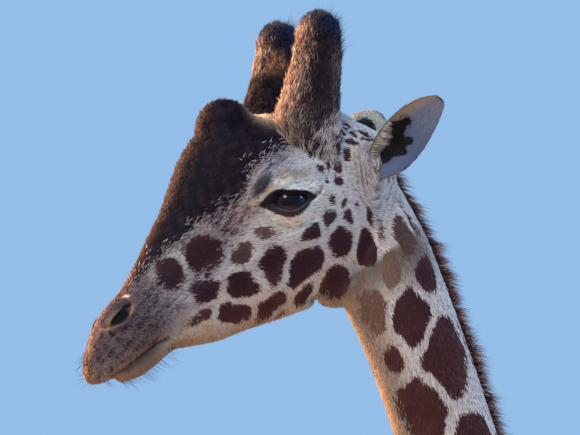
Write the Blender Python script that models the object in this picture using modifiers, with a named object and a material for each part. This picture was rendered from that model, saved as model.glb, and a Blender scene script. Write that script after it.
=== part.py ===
"""A reticulated giraffe bull, standing, as a life-size museum model.

The animal faces -Y, its left side is +X, and its soles stand on z = 0. The flesh is a set of
lofts, each a row of rounded sections along a straight line, grown together into one body and
then parted with thin cuts where a person would name its parts. Lengths are metres.
"""

import math

import bmesh
import bpy
import numpy as np
from mathutils import Matrix, Vector

# ---------------------------------------------------------------- driving sizes
SOLE_HEIGHT = 0.0
MUZZLE_TIP = (0.0, -1.43, 4.50)  # the front of the upper lip, on the midline
HEAD_PITCH_DEG = 37.0  # how far the nose points down
HEAD_LENGTH = 0.725
NECK_ROOT = (0.0, 0.06, 2.50)  # on the neck's line, inside the chest
NECK_RISE_DEG = 67.7  # the neck's slope above the horizontal
NECK_LENGTH = 2.70
EYE_RADIUS = 0.034
EYE_AT = (0.457, 0.046, 0.089)  # along the head, above its line, out to the side
OSSICONE_ROOT = (0.582, 0.095, 0.064)
OSSICONE_TIP = (0.714, 0.280, 0.076)
EAR_ROOT = (0.642, -0.001, 0.082)
EAR_TIPS = {1: (0.772, 0.043, 0.168), -1: (0.811, 0.043, 0.126)}  # the left ear, the right one
EAR_FACES = {1: (0.85, -0.52, -0.10), -1: (-0.95, 0.15, -0.10)}  # which way each ear's hollow faces
EAR_BREADTHS = {1: 1.0, -1: 1.12}
EAR_THICKNESS = 0.006
TUFT_END = 0.80
MANE_THICKNESS = 0.022
STANCE_STEP = 0.06  # each foot stands this far ahead of or behind its square place
HIP_LEVEL = 2.1  # a leg leans from here down
GAP = 0.0004  # left between two pieces that touch
VOXEL = 0.010
HEAD_TRIANGLES = 1350
BODY_TRIANGLES = 1900

SIDES = {"left": 1.0, "right": -1.0}


# ---------------------------------------------------------------- curves and lofts
def smooth_through(places, values, at):
    """A curve through the stations that never overshoots: cubic Hermite with limited slopes."""
    places, values, at = (np.asarray(v, float) for v in (places, values, at))
    run = np.diff(places)
    rise = np.diff(values) / run
    slope = np.zeros(len(places))
    same_way = rise[:-1] * rise[1:] > 0
    pair = np.where(same_way, rise[:-1] + rise[1:], 1.0)
    slope[1:-1] = np.where(same_way, 2 * rise[:-1] * rise[1:] / pair, 0.0)
    slope[0], slope[-1] = rise[0], rise[-1]
    at = np.clip(at, places[0], places[-1])
    i = np.clip(np.searchsorted(places, at, side="right") - 1, 0, len(run) - 1)
    t = (at - places[i]) / run[i]
    return (
        (1 + 2 * t) * (1 - t) ** 2 * values[i]
        + t * (1 - t) ** 2 * run[i] * slope[i]
        + t * t * (3 - 2 * t) * values[i + 1]
        + t * t * (t - 1) * run[i] * slope[i + 1]
    )


def unit(vector):
    return np.asarray(vector, float) / np.linalg.norm(vector)


class Loft:
    """Rounded sections along a straight line.

    Each station is (distance along, upper edge, lower edge, widest level, half width, side
    shift), and the edges are heights above the line. The ends close as half ellipsoids.
    """

    def __init__(self, start, along, up, stations, caps, powers=(2.2, 2.2), taper=(0.0, 0.0)):
        self.start = np.asarray(start, float)
        self.along, self.up = unit(along), unit(up)
        self.side = np.array([1.0, 0.0, 0.0])
        self.table = np.array(stations, float)
        self.caps, self.powers, self.taper = caps, powers, taper

    def sizes(self, s):
        return [smooth_through(self.table[:, 0], column, s) for column in self.table[:, 1:].T]

    def surface(self, rings, round_count):
        """Rings of points. A ring inside a cap is placed by the angle that it stands at."""
        first, last = self.table[0, 0], self.table[-1, 0]
        open_first, open_last = first + self.caps[0], last - self.caps[1]
        turn = np.linspace(0.12, math.pi / 2, 6)[:-1]
        s = np.concatenate(
            [
                open_first - self.caps[0] * np.cos(turn),
                np.linspace(open_first, open_last, rings),
                (open_last + self.caps[1] * np.cos(turn))[::-1],
            ]
        )
        upper_power, lower_power = self.powers
        beyond = np.maximum((open_first - s) / self.caps[0], (s - open_last) / self.caps[1])
        shrink = (1 - np.clip(beyond, 0, 1) ** 2) ** 0.5
        top, bottom, level, half, shift = self.sizes(s)
        angle = 2 * math.pi * np.arange(round_count) / round_count
        c, v = np.cos(angle), np.sin(angle)
        power = np.where(v > 0, upper_power, lower_power)
        across = np.sign(c) * np.abs(c) ** (2 / power)
        height = np.sign(v) * np.abs(v) ** (2 / power)
        narrowing = np.where(v > 0, self.taper[0], self.taper[1]) * np.abs(height) ** 1.5
        out = (half * shrink)[:, None] * (across * (1 - narrowing))[None] + shift[:, None]
        reach = np.where(height > 0, (top - level)[:, None], (level - bottom)[:, None])
        rise = level[:, None] + reach * shrink[:, None] * height[None]
        return (
            self.start
            + s[:, None, None] * self.along
            + rise[..., None] * self.up
            + out[..., None] * self.side
        )


def mesh_of_rings(name, rings):
    """A closed mesh from rings of points, each end closed by a fan to its centre."""
    mesh = bmesh.new()
    rows = [[mesh.verts.new(point) for point in ring] for ring in rings]
    for near, far in zip(rows, rows[1:]):
        for i in range(len(near)):
            j = (i + 1) % len(near)
            mesh.faces.new((near[i], near[j], far[j], far[i]))
    for row in (rows[0], rows[-1]):
        centre = mesh.verts.new(sum((v.co for v in row), Vector()) / len(row))
        for i in range(len(row)):
            mesh.faces.new((row[i], row[(i + 1) % len(row)], centre))
    bmesh.ops.recalc_face_normals(mesh, faces=mesh.faces)
    data = bpy.data.meshes.new(name)
    mesh.to_mesh(data)
    mesh.free()
    return data


# ---------------------------------------------------------------- the head's own frame
PITCH = math.radians(HEAD_PITCH_DEG)
HEAD_BACK = np.array([0.0, math.cos(PITCH), math.sin(PITCH)])
HEAD_UP = np.array([0.0, -math.sin(PITCH), math.cos(PITCH)])


def on_head(along, above, out, side=1.0):
    """A place given along the head from the lip, above its line, and out to one side."""
    place = np.array(MUZZLE_TIP) + along * HEAD_BACK + above * HEAD_UP
    return place + np.array([side * out, 0.0, 0.0])


# ---------------------------------------------------------------- the flesh
def skull_loft():
    stations = [
        (0.000, 0.046, -0.026, 0.004, 0.036, 0),
        (0.050, 0.058, -0.026, 0.006, 0.046, 0),
        (0.100, 0.078, -0.027, 0.010, 0.054, 0),
        (0.140, 0.085, -0.030, 0.012, 0.055, 0),
        (0.190, 0.105, -0.040, 0.016, 0.054, 0),
        (0.250, 0.134, -0.060, 0.022, 0.060, 0),
        (0.300, 0.156, -0.080, 0.026, 0.070, 0),
        (0.340, 0.180, -0.095, 0.030, 0.082, 0),
        (0.380, 0.204, -0.108, 0.034, 0.094, 0),
        (0.420, 0.218, -0.116, 0.040, 0.104, 0),
        (0.460, 0.222, -0.120, 0.044, 0.110, 0),
        (0.500, 0.208, -0.122, 0.040, 0.108, 0),
        (0.550, 0.180, -0.120, 0.030, 0.101, 0),
        (0.600, 0.150, -0.112, 0.015, 0.092, 0),
        (0.660, 0.112, -0.090, 0.008, 0.078, 0),
        (HEAD_LENGTH, 0.085, -0.050, 0.005, 0.068, 0),
    ]
    return Loft(
        MUZZLE_TIP, HEAD_BACK, HEAD_UP, stations, (0.06, 0.09), (1.85, 2.3), (0.05, 0.15)
    )


def jaw_loft():
    stations = [
        (0.045, -0.022, -0.050, -0.036, 0.034, 0),
        (0.070, -0.018, -0.054, -0.037, 0.037, 0),
        (0.100, -0.016, -0.0585, -0.038, 0.038, 0),
        (0.130, -0.015, -0.0565, -0.036, 0.036, 0),
        (0.160, -0.010, -0.0520, -0.030, 0.034, 0),
        (0.200, -0.005, -0.065, -0.030, 0.038, 0),
        (0.250, 0.000, -0.087, -0.035, 0.046, 0),
        (0.310, 0.000, -0.103, -0.040, 0.056, 0),
        (0.360, 0.000, -0.119, -0.045, 0.064, 0),
        (0.400, 0.000, -0.131, -0.050, 0.070, 0),
        (0.440, 0.000, -0.141, -0.055, 0.072, 0),
        (0.485, 0.000, -0.140, -0.055, 0.070, 0),
    ]
    return Loft(
        MUZZLE_TIP, HEAD_BACK, HEAD_UP, stations, (0.03, 0.06), (2.2, 2.2), (0.0, 0.35)
    )


def neck_loft():
    slope = math.radians(NECK_RISE_DEG)
    along = (0.0, -math.cos(slope), math.sin(slope))
    nape_side = (0.0, math.sin(slope), math.cos(slope))
    stations = [
        (0.00, 0.440, -0.380, 0.00, 0.250, 0),
        (0.20, 0.380, -0.360, 0.00, 0.220, 0),
        (0.50, 0.280, -0.270, 0.00, 0.165, 0),
        (0.80, 0.208, -0.200, 0.00, 0.130, 0),
        (1.20, 0.148, -0.146, 0.00, 0.098, 0),
        (1.60, 0.114, -0.117, 0.00, 0.080, 0),
        (2.00, 0.090, -0.096, 0.00, 0.069, 0),
        (2.25, 0.095, -0.090, 0.00, 0.066, 0),
        (2.40, 0.091, -0.102, 0.00, 0.066, 0),
        (2.55, 0.066, -0.100, 0.00, 0.066, 0),
        (NECK_LENGTH, 0.040, -0.090, -0.01, 0.060, 0),
    ]
    return Loft(NECK_ROOT, along, nape_side, stations, (0.20, 0.10), (2.0, 2.1), (0.10, 0.0))


def trunk_loft():
    stations = [
        (-0.42, 2.78, 2.26, 2.50, 0.18, 0),
        (-0.25, 2.95, 2.09, 2.48, 0.25, 0),
        (0.00, 3.07, 1.99, 2.46, 0.305, 0),
        (0.15, 3.12, 1.965, 2.45, 0.325, 0),
        (0.40, 3.02, 1.955, 2.42, 0.360, 0),
        (0.65, 2.90, 1.965, 2.40, 0.385, 0),
        (0.90, 2.79, 1.995, 2.38, 0.370, 0),
        (1.10, 2.71, 2.060, 2.38, 0.330, 0),
        (1.25, 2.63, 2.120, 2.37, 0.290, 0),
        (1.41, 2.52, 2.200, 2.36, 0.220, 0),
    ]
    return Loft((0, 0, 0), (0, 1, 0), (0, 0, 1), stations, (0.16, 0.15), (1.75, 2.1), (0.1, 0.1))


FORELEG = [  # level, front edge, rear edge, half width, distance from the midline
    (2.78, -0.16, 0.16, 0.070, 0.190),
    (2.60, -0.30, 0.17, 0.100, 0.195),
    (2.42, -0.36, 0.15, 0.112, 0.200),
    (2.20, -0.30, 0.15, 0.104, 0.205),
    (2.00, -0.215, 0.135, 0.088, 0.202),
    (1.80, -0.168, 0.080, 0.073, 0.194),
    (1.50, -0.146, 0.024, 0.059, 0.181),
    (1.25, -0.136, -0.008, 0.053, 0.172),
    (1.08, -0.150, -0.004, 0.062, 0.168),
    (0.97, -0.138, -0.006, 0.054, 0.165),
    (0.85, -0.119, -0.022, 0.043, 0.162),
    (0.55, -0.111, -0.020, 0.039, 0.157),
    (0.36, -0.114, -0.010, 0.044, 0.154),
    (0.27, -0.127, 0.006, 0.053, 0.152),
    (0.19, -0.142, -0.004, 0.050, 0.151),
    (0.13, -0.172, 0.000, 0.066, 0.150),
    (0.06, -0.208, 0.012, 0.086, 0.150),
    (-0.04, -0.246, 0.022, 0.100, 0.150),
]
HINDLEG = [
    (2.66, 0.82, 1.28, 0.110, 0.150),
    (2.42, 0.70, 1.395, 0.150, 0.175),
    (2.15, 0.69, 1.385, 0.146, 0.190),
    (1.95, 0.71, 1.310, 0.130, 0.195),
    (1.75, 0.755, 1.215, 0.108, 0.194),
    (1.55, 0.860, 1.180, 0.084, 0.190),
    (1.36, 0.965, 1.195, 0.064, 0.185),
    (1.22, 1.035, 1.238, 0.052, 0.181),
    (1.12, 1.062, 1.258, 0.058, 0.178),
    (1.01, 1.072, 1.232, 0.053, 0.174),
    (0.86, 1.074, 1.188, 0.044, 0.170),
    (0.55, 1.062, 1.158, 0.040, 0.163),
    (0.36, 1.055, 1.160, 0.045, 0.160),
    (0.27, 1.040, 1.172, 0.053, 0.158),
    (0.19, 1.022, 1.160, 0.049, 0.157),
    (0.13, 0.990, 1.160, 0.064, 0.156),
    (0.06, 0.955, 1.170, 0.082, 0.156),
    (-0.04, 0.920, 1.178, 0.094, 0.156),
]


def lean(level, step):
    """How far back a leg stands at this level, growing smoothly from nothing at the hip."""
    t = np.clip((HIP_LEVEL - np.asarray(level)) / HIP_LEVEL, 0, 1)
    return step * t * t * (3 - 2 * t)


def leg_loft(rows, side, step):
    """A leg's line runs straight down, and the side it rises to is the front."""
    stations = []
    for level, front, rear, half, out in rows:
        back = lean(level, step)
        middle = -(front + rear) / 2 - back
        stations.append((-level, -front - back, -rear - back, middle, half, side * out))
    return Loft((0, 0, 0), (0, 0, -1), (0, -1, 0), stations, (0.10, 0.002), (2.1, 2.1))


LEGS = {
    "front_left": (FORELEG, -STANCE_STEP),
    "front_right": (FORELEG, STANCE_STEP),
    "hind_left": (HINDLEG, STANCE_STEP),
    "hind_right": (HINDLEG, -STANCE_STEP),
}


def ellipsoid(centre, axes, radii, steps=24):
    """A sphere stretched along three axes of its own and set in place."""
    data = bpy.data.meshes.new("ellipsoid")
    mesh = bmesh.new()
    bmesh.ops.create_uvsphere(mesh, u_segments=steps, v_segments=steps * 2 // 3, radius=1.0)
    frame = Matrix([list(unit(a) * r) for a, r in zip(axes, radii)]).transposed().to_4x4()
    frame.translation = Vector(centre)
    bmesh.ops.transform(mesh, matrix=frame, verts=mesh.verts)
    bmesh.ops.recalc_face_normals(mesh, faces=mesh.faces)
    mesh.to_mesh(data)
    mesh.free()
    return data


def head_swellings():
    """The forehead boss, the brows, the cheek muscles, the nostrils and the throat."""
    axes = ((1, 0, 0), HEAD_BACK, HEAD_UP)
    meshes = [ellipsoid(on_head(0.478, 0.192, 0), axes, (0.046, 0.054, 0.058))]
    for side in SIDES.values():
        meshes.append(ellipsoid(on_head(0.450, 0.086, 0.084, side), axes, (0.034, 0.062, 0.028)))
        meshes.append(ellipsoid(on_head(0.405, -0.03, 0.056, side), axes, (0.029, 0.085, 0.060)))
        meshes.append(ellipsoid(on_head(0.104, 0.052, 0.036, side), axes, (0.017, 0.030, 0.019)))
    meshes.append(ellipsoid(on_head(0.505, -0.133, 0), axes, (0.050, 0.052, 0.045)))
    return meshes


# ---------------------------------------------------------------- Blender tools
def object_of(name, data, collection):
    """A new object, all triangles, so that a copy of it bends along the same diagonals."""
    mesh = bmesh.new()
    mesh.from_mesh(data)
    bmesh.ops.triangulate(mesh, faces=mesh.faces)
    mesh.to_mesh(data)
    mesh.free()
    made = bpy.data.objects.new(name, data)
    collection.objects.link(made)
    return made


def applied(piece, *steps):
    """Adds modifiers, each (kind, settings), and keeps their result as the piece's mesh."""
    for kind, settings in steps:
        modifier = piece.modifiers.new(kind.title(), kind)
        for name, value in settings.items():
            setattr(modifier, name, value)
    bpy.context.view_layer.update()
    graph = bpy.context.evaluated_depsgraph_get()
    made = bpy.data.meshes.new_from_object(piece.evaluated_get(graph))
    piece.modifiers.clear()
    piece.data = made
    return piece


def boolean(piece, other, operation):
    applied(piece, ("BOOLEAN", {"operation": operation, "object": other}))
    bpy.data.objects.remove(other)
    return piece


def seated(piece, guest):
    """Hollows a piece out where another one sits in it, with a gap all round."""
    cutter = object_of("cutter", guest.data.copy(), TOOLS)
    applied(cutter, ("DISPLACE", {"mid_level": 0.0, "strength": 1.2 * GAP}))
    return boolean(piece, cutter, "DIFFERENCE")


def halved(piece, point, normal):
    """Keeps what lies behind a plane and closes the cut."""
    mesh = bmesh.new()
    mesh.from_mesh(piece.data)
    everything = mesh.verts[:] + mesh.edges[:] + mesh.faces[:]
    bmesh.ops.bisect_plane(
        mesh, geom=everything, plane_co=Vector(point), plane_no=Vector(normal), clear_outer=True
    )
    rim = [edge for edge in mesh.edges if edge.is_boundary]
    bmesh.ops.triangle_fill(mesh, edges=rim, use_beauty=True)
    bmesh.ops.recalc_face_normals(mesh, faces=mesh.faces)
    mesh.to_mesh(piece.data)
    mesh.free()
    return piece


def thinned(piece, triangles):
    """Leaves about this many triangles, fewest where the form is plainest."""
    now = sum(len(polygon.vertices) - 2 for polygon in piece.data.polygons)
    return applied(piece, ("DECIMATE", {"ratio": triangles / now}))


def slab(name, centre, normal, across, size, thickness, tools):
    """A thin square plate to cut with: its middle, the way it faces, and one of its edges."""
    data = bpy.data.meshes.new(name)
    mesh = bmesh.new()
    bmesh.ops.create_cube(mesh, size=1.0)
    normal, across = unit(normal), unit(across)
    third = np.cross(normal, across)
    columns = (across * size[0], third * size[1], normal * thickness)
    frame = Matrix([list(c) for c in columns]).transposed().to_4x4()
    frame.translation = Vector(centre)
    bmesh.ops.transform(mesh, matrix=frame, verts=mesh.verts)
    bmesh.ops.recalc_face_normals(mesh, faces=mesh.faces)
    mesh.to_mesh(data)
    mesh.free()
    return object_of(name, data, tools)


def loose_parts(piece, collection):
    """Splits a piece into its separate bodies, each a new object."""
    mesh = bmesh.new()
    mesh.from_mesh(piece.data)
    left, groups = set(mesh.verts), []
    while left:
        todo, group = [next(iter(left))], set()
        while todo:
            vert = todo.pop()
            if vert in left:
                left.discard(vert)
                group.add(vert)
                todo.extend(edge.other_vert(vert) for edge in vert.link_edges)
        groups.append({v.index for v in group})
    mesh.free()
    made = []
    for group in groups:
        part = bmesh.new()
        part.from_mesh(piece.data)
        part.verts.ensure_lookup_table()
        bmesh.ops.delete(part, geom=[v for v in part.verts if v.index not in group])
        data = bpy.data.meshes.new(piece.name)
        part.to_mesh(data)
        part.free()
        made.append(object_of(piece.name, data, collection))
    bpy.data.objects.remove(piece)
    return made


def middle_of(piece):
    return sum((v.co for v in piece.data.vertices), Vector()) / len(piece.data.vertices)


# ---------------------------------------------------------------- the scene's collections
for old in list(bpy.data.objects):
    bpy.data.objects.remove(old)
GIRAFFE = bpy.data.collections.new("giraffe")
TOOLS = bpy.data.collections.new("tools")
for group in (GIRAFFE, TOOLS):
    bpy.context.scene.collection.children.link(group)


# ---------------------------------------------------------------- one body, grown together
def joined_meshes(meshes):
    joined = bmesh.new()
    for data in meshes:
        joined.from_mesh(data)
    data = bpy.data.meshes.new("joined")
    joined.to_mesh(data)
    joined.free()
    return data


def whole_body():
    """All the flesh and the hooves as one closed skin."""
    lofts = [
        (skull_loft(), 44, 40),
        (jaw_loft(), 34, 24),
        (neck_loft(), 60, 40),
        (trunk_loft(), 50, 56),
    ]
    for name, (rows, step) in LEGS.items():
        side = SIDES[name.split("_")[1]]
        lofts.append((leg_loft(rows, side, step), 90, 28))
    meshes = [mesh_of_rings("loft", loft.surface(rings, round_)) for loft, rings, round_ in lofts]
    whole = object_of("whole", joined_meshes(meshes + head_swellings()), GIRAFFE)
    applied(whole, ("REMESH", {"mode": "VOXEL", "voxel_size": VOXEL}))
    return applied(whole, ("SMOOTH", {"factor": 0.5, "iterations": 4}))


NAPE = on_head(0.705, -0.085, 0)
THROAT = on_head(0.472, -0.170, 0)
HEAD_CUT = unit(np.cross((1.0, 0.0, 0.0), NAPE - THROAT))
HEAD_CUT = HEAD_CUT * (-1 if HEAD_CUT[2] > 0 else 1)  # it faces down into the neck

body = whole_body()
head = object_of("head", body.data.copy(), GIRAFFE)
halved(head, THROAT + 0.03 * HEAD_CUT, HEAD_CUT)
halved(body, THROAT - 0.03 * HEAD_CUT, -HEAD_CUT)
thinned(head, HEAD_TRIANGLES)
thinned(body, BODY_TRIANGLES)
halved(head, THROAT - GAP / 2 * HEAD_CUT, HEAD_CUT)
halved(body, THROAT + GAP / 2 * HEAD_CUT, -HEAD_CUT)
halved(body, (0, 0, SOLE_HEIGHT), (0, 0, -1))

# ---------------------------------------------------------------- parting the body
ALONG_NECK = neck_loft().along
KNEE_LEVEL = 1.05
CORONET_LEVEL = 0.118
LEG_TOP = 1.93
NECK_CUT = 1.60
SHOULDER_CUT = ((0.0, -0.34, 2.875), (0.0, -0.84, 0.543))


def foot_place(name):
    rows, step = LEGS[name]
    side = SIDES[name.split("_")[1]]
    front, rear, out = rows[-2][1], rows[-2][2], rows[-2][4]
    return np.array([side * out, (front + rear) / 2 + lean(0.0, step), 0.0])


slabs = [
    slab("cut", (0, 0.4, z), (0, 0, 1), (1, 0, 0), (2, 4), GAP, TOOLS) for z in (LEG_TOP, KNEE_LEVEL)
]
slabs.append(slab("cut", np.array(NECK_ROOT) + NECK_CUT * ALONG_NECK, ALONG_NECK, (1, 0, 0), (
    1, 0.8), GAP, TOOLS))
slabs.append(slab("cut", SHOULDER_CUT[0], SHOULDER_CUT[1], (1, 0, 0), (1.4, 1.3), GAP, TOOLS))
for leg in LEGS:
    place = foot_place(leg) + np.array([0, 0, CORONET_LEVEL])
    slabs.append(slab("cut", place, (0, 0.18, 1), (1, 0, 0), (0.26, 0.40), GAP, TOOLS))
for cut in slabs:
    boolean(body, cut, "DIFFERENCE")


def cleft(name):
    """The wedge of air between a foot's two toes, widest at the front."""
    place = foot_place(name)
    plan = [(-0.0075, -0.20), (0.0075, -0.20), (0.002, 0.20), (-0.002, 0.20)]
    rings = [[place + np.array([x, y, z]) for x, y in plan] for z in (-0.02, CORONET_LEVEL + 0.06)]
    return object_of("cleft", mesh_of_rings("cleft", rings), TOOLS)


def flesh_name(centre):
    """What a piece of the body is called, from where its middle lies."""
    x, y, z = centre
    side = "left" if x > 0 else "right"
    if z > LEG_TOP:
        along = (np.array(centre) - np.array(NECK_ROOT)) @ ALONG_NECK
        past = (np.array(centre) - np.array(SHOULDER_CUT[0])) @ np.array(SHOULDER_CUT[1])
        if past > 0:
            return "neck_upper" if along > NECK_CUT else "neck_lower"
        return "trunk"
    end = "front" if y < 0.55 else "hind"
    part = ("hoof", "lower_leg", "upper_leg")[int(z > CORONET_LEVEL) + int(z > KNEE_LEVEL)]
    return f"{part}_{end}_{side}"


for piece in loose_parts(body, GIRAFFE):
    name = flesh_name(middle_of(piece))
    if not name.startswith("hoof"):
        piece.name = name
        continue
    leg = name[5:]
    boolean(piece, cleft(leg), "DIFFERENCE")
    for toe in loose_parts(piece, GIRAFFE):
        out = abs(middle_of(toe).x) > abs(foot_place(leg)[0])
        toe.name = f"hoof_{'outer' if out else 'inner'}_{leg}"


# ---------------------------------------------------------------- eyes, horns, ears, mane, tail
def frame_along(direction, facing):
    """Three unit axes: along a direction, facing as nearly as can be another, and across."""
    along = unit(direction)
    face = unit(np.asarray(facing, float) - np.dot(facing, along) * along)
    return along, face, np.cross(face, along)


def ossicone(side):
    """A stout horn of bone under hairy skin, leaning back a little, with a blunt round tip."""
    root, tip = on_head(*OSSICONE_ROOT, side), on_head(*OSSICONE_TIP, side)
    along, front, across = frame_along(tip - root, (0, -1, 0))
    length = np.linalg.norm(tip - root) + 0.05
    places = [0.0, 0.05, 0.085, 0.12, 0.17, 0.21, 0.245]
    ahead = [0.080, 0.086, 0.080, 0.068, 0.052, 0.041, 0.036]
    behind = [0.040, 0.040, 0.039, 0.040, 0.043, 0.040, 0.036]
    wide = [0.028, 0.036, 0.040, 0.041, 0.039, 0.037, 0.035]
    closing = 1 - np.sin(np.linspace(0, math.pi / 2, 5)[1:-1])
    s = np.concatenate([np.linspace(0, length - 0.034, 8), length - 0.034 * closing])
    cap = np.sqrt(1 - np.clip((s - length + 0.034) / 0.034, 0, 1) ** 2)
    ahead, behind, wide = (smooth_through(places, sizes, s) * cap for sizes in (ahead, behind, wide))
    angle = 2 * math.pi * np.arange(10) / 10
    fore = np.where(np.cos(angle)[None] > 0, ahead[:, None], behind[:, None]) * np.cos(angle)
    rings = (
        root - 0.05 * along
        + s[:, None, None] * along
        + fore[..., None] * front
        + (wide[:, None] * np.sin(angle))[..., None] * across
    )
    return mesh_of_rings("ossicone", rings)


def ear(side):
    """A leaf of skin rolled into a cup towards its root, open to the front and side.

    Every ring is a crescent: across the back of the leaf, then home across its hollow. Below
    the root the hollow is filled, and that end sits in the head.
    """
    root, tip = on_head(*EAR_ROOT, side), on_head(*EAR_TIPS[int(side)], side)
    along, face, across = frame_along(tip - root, EAR_FACES[int(side)])
    length = np.linalg.norm(tip - root)
    t = np.array([-0.22, -0.08, 0.06, 0.20, 0.36, 0.54, 0.72, 0.88, 1.0])[:, None]
    places = [-0.22, -0.07, 0.07, 0.20, 0.38, 0.56, 0.75, 0.90, 1]
    widths = [0.014, 0.020, 0.030, 0.036, 0.041, 0.038, 0.027, 0.0135, 0.006]
    half = EAR_BREADTHS[int(side)] * smooth_through(places, widths, t)
    cup = smooth_through([-0.22, 0, 0.2, 0.5, 0.8, 1], [0.020, 0.028, 0.026, 0.016, 0.008, 0.001], t)
    hollow = smooth_through([-0.22, 0, 0.16, 0.3], [0.0, 0.0, 0.8, 1.0], t)
    wrap = smooth_through([-0.22, 0.1, 0.4, 1], [1.2, 1.15, 0.7, 0.35], t) * math.pi / 2
    q = np.linspace(-1, 1, 8)[None]
    out = half * np.sin(wrap * q) / np.sin(np.minimum(wrap, math.pi / 2))
    fall = cup * ((1 - np.cos(q * wrap)) / (1 - np.cos(wrap)) - 1)
    inner = fall[:, 1:-1] * hollow + (1 - hollow) * 0.006
    out = np.concatenate([out, out[:, -2:0:-1]], axis=1)
    shut = np.concatenate([fall - EAR_THICKNESS / 2, inner[:, ::-1] + EAR_THICKNESS / 2], axis=1)
    rings = (
        root + (length * t)[..., None] * along + out[..., None] * across + shut[..., None] * face
    )
    return object_of("ear", mesh_of_rings("ear", rings), GIRAFFE)


def strip_along_neck():
    """The mane: stiff upright hair in a ridge from the poll to the withers."""
    nape = neck_loft()
    s = np.linspace(0.42, 2.66, 18)
    top = nape.sizes(s)[0]
    places = [0.42, 0.62, 1.20, 2.20, 2.55, 2.66]
    rise = smooth_through(places, [0.004, 0.022, 0.030, 0.030, 0.026, 0.012], s)
    rings = []
    for place, crest, high in zip(s, top, rise):
        w = MANE_THICKNESS
        section = [(-w, -0.03), (w, -0.03), (w, 0.0), (0.45 * w, high), (0, high + 0.004), (
            -0.45 * w, high), (-w, 0.0)]
        rings.append([
            nape.start + place * nape.along + (crest + z) * nape.up + np.array([x, 0, 0])
            for x, z in section
        ])
    return mesh_of_rings("mane", rings)


TAIL = [  # level, rear edge, front edge, half width
    (2.545, 1.395, 1.290, 0.050),
    (2.500, 1.440, 1.320, 0.048),
    (2.430, 1.476, 1.375, 0.044),
    (2.330, 1.486, 1.408, 0.038),
    (2.150, 1.478, 1.414, 0.031),
    (1.900, 1.463, 1.411, 0.025),
    (1.600, 1.450, 1.412, 0.018),
    (1.440, 1.444, 1.416, 0.013),
]
TUFT = [
    (1.560, 1.455, 1.405, 0.024),
    (1.480, 1.470, 1.393, 0.038),
    (1.350, 1.482, 1.385, 0.050),
    (1.150, 1.480, 1.390, 0.048),
    (0.980, 1.470, 1.402, 0.036),
    (0.850, 1.460, 1.415, 0.022),
    (TUFT_END, 1.455, 1.425, 0.012),
]


def hanging(rows, caps, rings, round_count):
    stations = [(-z, rear, front, (rear + front) / 2, half, 0.0) for z, rear, front, half in rows]
    loft = Loft((0, 0, 0), (0, 0, -1), (0, 1, 0), stations, caps)
    return mesh_of_rings("hanging", loft.surface(rings, round_count))


part = {piece.name: piece for piece in GIRAFFE.objects}

for name, side in SIDES.items():
    place = on_head(*EYE_AT, side)
    axes = ((0, 0, 1), (0, 1, 0), (1, 0, 0))
    eye = object_of(f"eye_{name}", ellipsoid(place, axes, [EYE_RADIUS] * 3, 12), GIRAFFE)
    horn = object_of(f"ossicone_{name}", ossicone(side), GIRAFFE)
    leaf = ear(side)
    leaf.name = f"ear_{name}"
    for guest in (eye, horn, leaf):
        seated(part["head"], guest)

mane = object_of("mane", strip_along_neck(), GIRAFFE)
for host in ("neck_upper", "neck_lower", "head", "trunk"):
    seated(part[host], mane)

dock = object_of("tail_dock", hanging(TAIL, (0.03, 0.02), 8, 8), GIRAFFE)
tuft = object_of("tail_tuft", hanging(TUFT, (0.04, 0.06), 7, 8), GIRAFFE)
seated(part["trunk"], dock)
seated(tuft, dock)


# ---------------------------------------------------------------- the lower jaw
def mouth_plate():
    """A thin bent plate along the closed mouth, to part the jaw from the head."""
    line = [(-0.05, -0.0275), (0.05, -0.0275), (0.075, -0.020), (0.148, -0.0205)]
    line += [(0.380, -0.030), (0.455, -0.060), (0.488, -0.130), (0.500, -0.260)]
    mesh = bmesh.new()
    corners = [
        [mesh.verts.new(on_head(s, h + lift, x)) for s, h in line]
        for x, lift in ((-0.3, -GAP / 2), (0.3, -GAP / 2), (0.3, GAP / 2), (-0.3, GAP / 2))
    ]
    for i in range(4):
        near, far = corners[i], corners[(i + 1) % 4]
        for k in range(len(line) - 1):
            mesh.faces.new((near[k], far[k], far[k + 1], near[k + 1]))
    for k in (0, -1):
        mesh.faces.new([row[k] for row in corners])
    bmesh.ops.recalc_face_normals(mesh, faces=mesh.faces)
    data = bpy.data.meshes.new("mouth")
    mesh.to_mesh(data)
    mesh.free()
    return object_of("mouth", data, TOOLS)


boolean(part["head"], mouth_plate(), "DIFFERENCE")
pieces = sorted(loose_parts(part["head"], GIRAFFE), key=lambda piece: -len(piece.data.vertices))
for crumb in pieces[2:]:
    bpy.data.objects.remove(crumb)
jaw, skull = sorted(pieces[:2], key=lambda piece: middle_of(piece).z)
skull.name, jaw.name = "head", "lower_jaw"

# ---------------------------------------------------------------- colours
COAT = (0.075, 0.026, 0.022)
COLOURS = {
    "hoof": (0.045, 0.036, 0.030),
    "eye": (0.012, 0.006, 0.004),
    "ossicone": (0.19, 0.075, 0.045),
    "ear": (0.45, 0.38, 0.30),
    "mane": (0.26, 0.062, 0.035),
    "tail_tuft": (0.012, 0.010, 0.010),
    "lower_jaw": (0.45, 0.36, 0.28),
}
ROUGHNESS = {"eye": 0.1, "hoof": 0.45}
for piece in GIRAFFE.objects:
    kind = next((k for k in COLOURS if piece.name.startswith(k)), "")
    material = bpy.data.materials.new(piece.name)
    material.use_nodes = True
    shader = material.node_tree.nodes["Principled BSDF"]
    colour = COLOURS.get(kind, COAT)
    shader.inputs["Base Color"].default_value = (*colour, 1.0)
    shader.inputs["Roughness"].default_value = ROUGHNESS.get(kind, 0.8)
    material.diffuse_color = (*colour, 1.0)
    piece.data.materials.clear()
    piece.data.materials.append(material)
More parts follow.
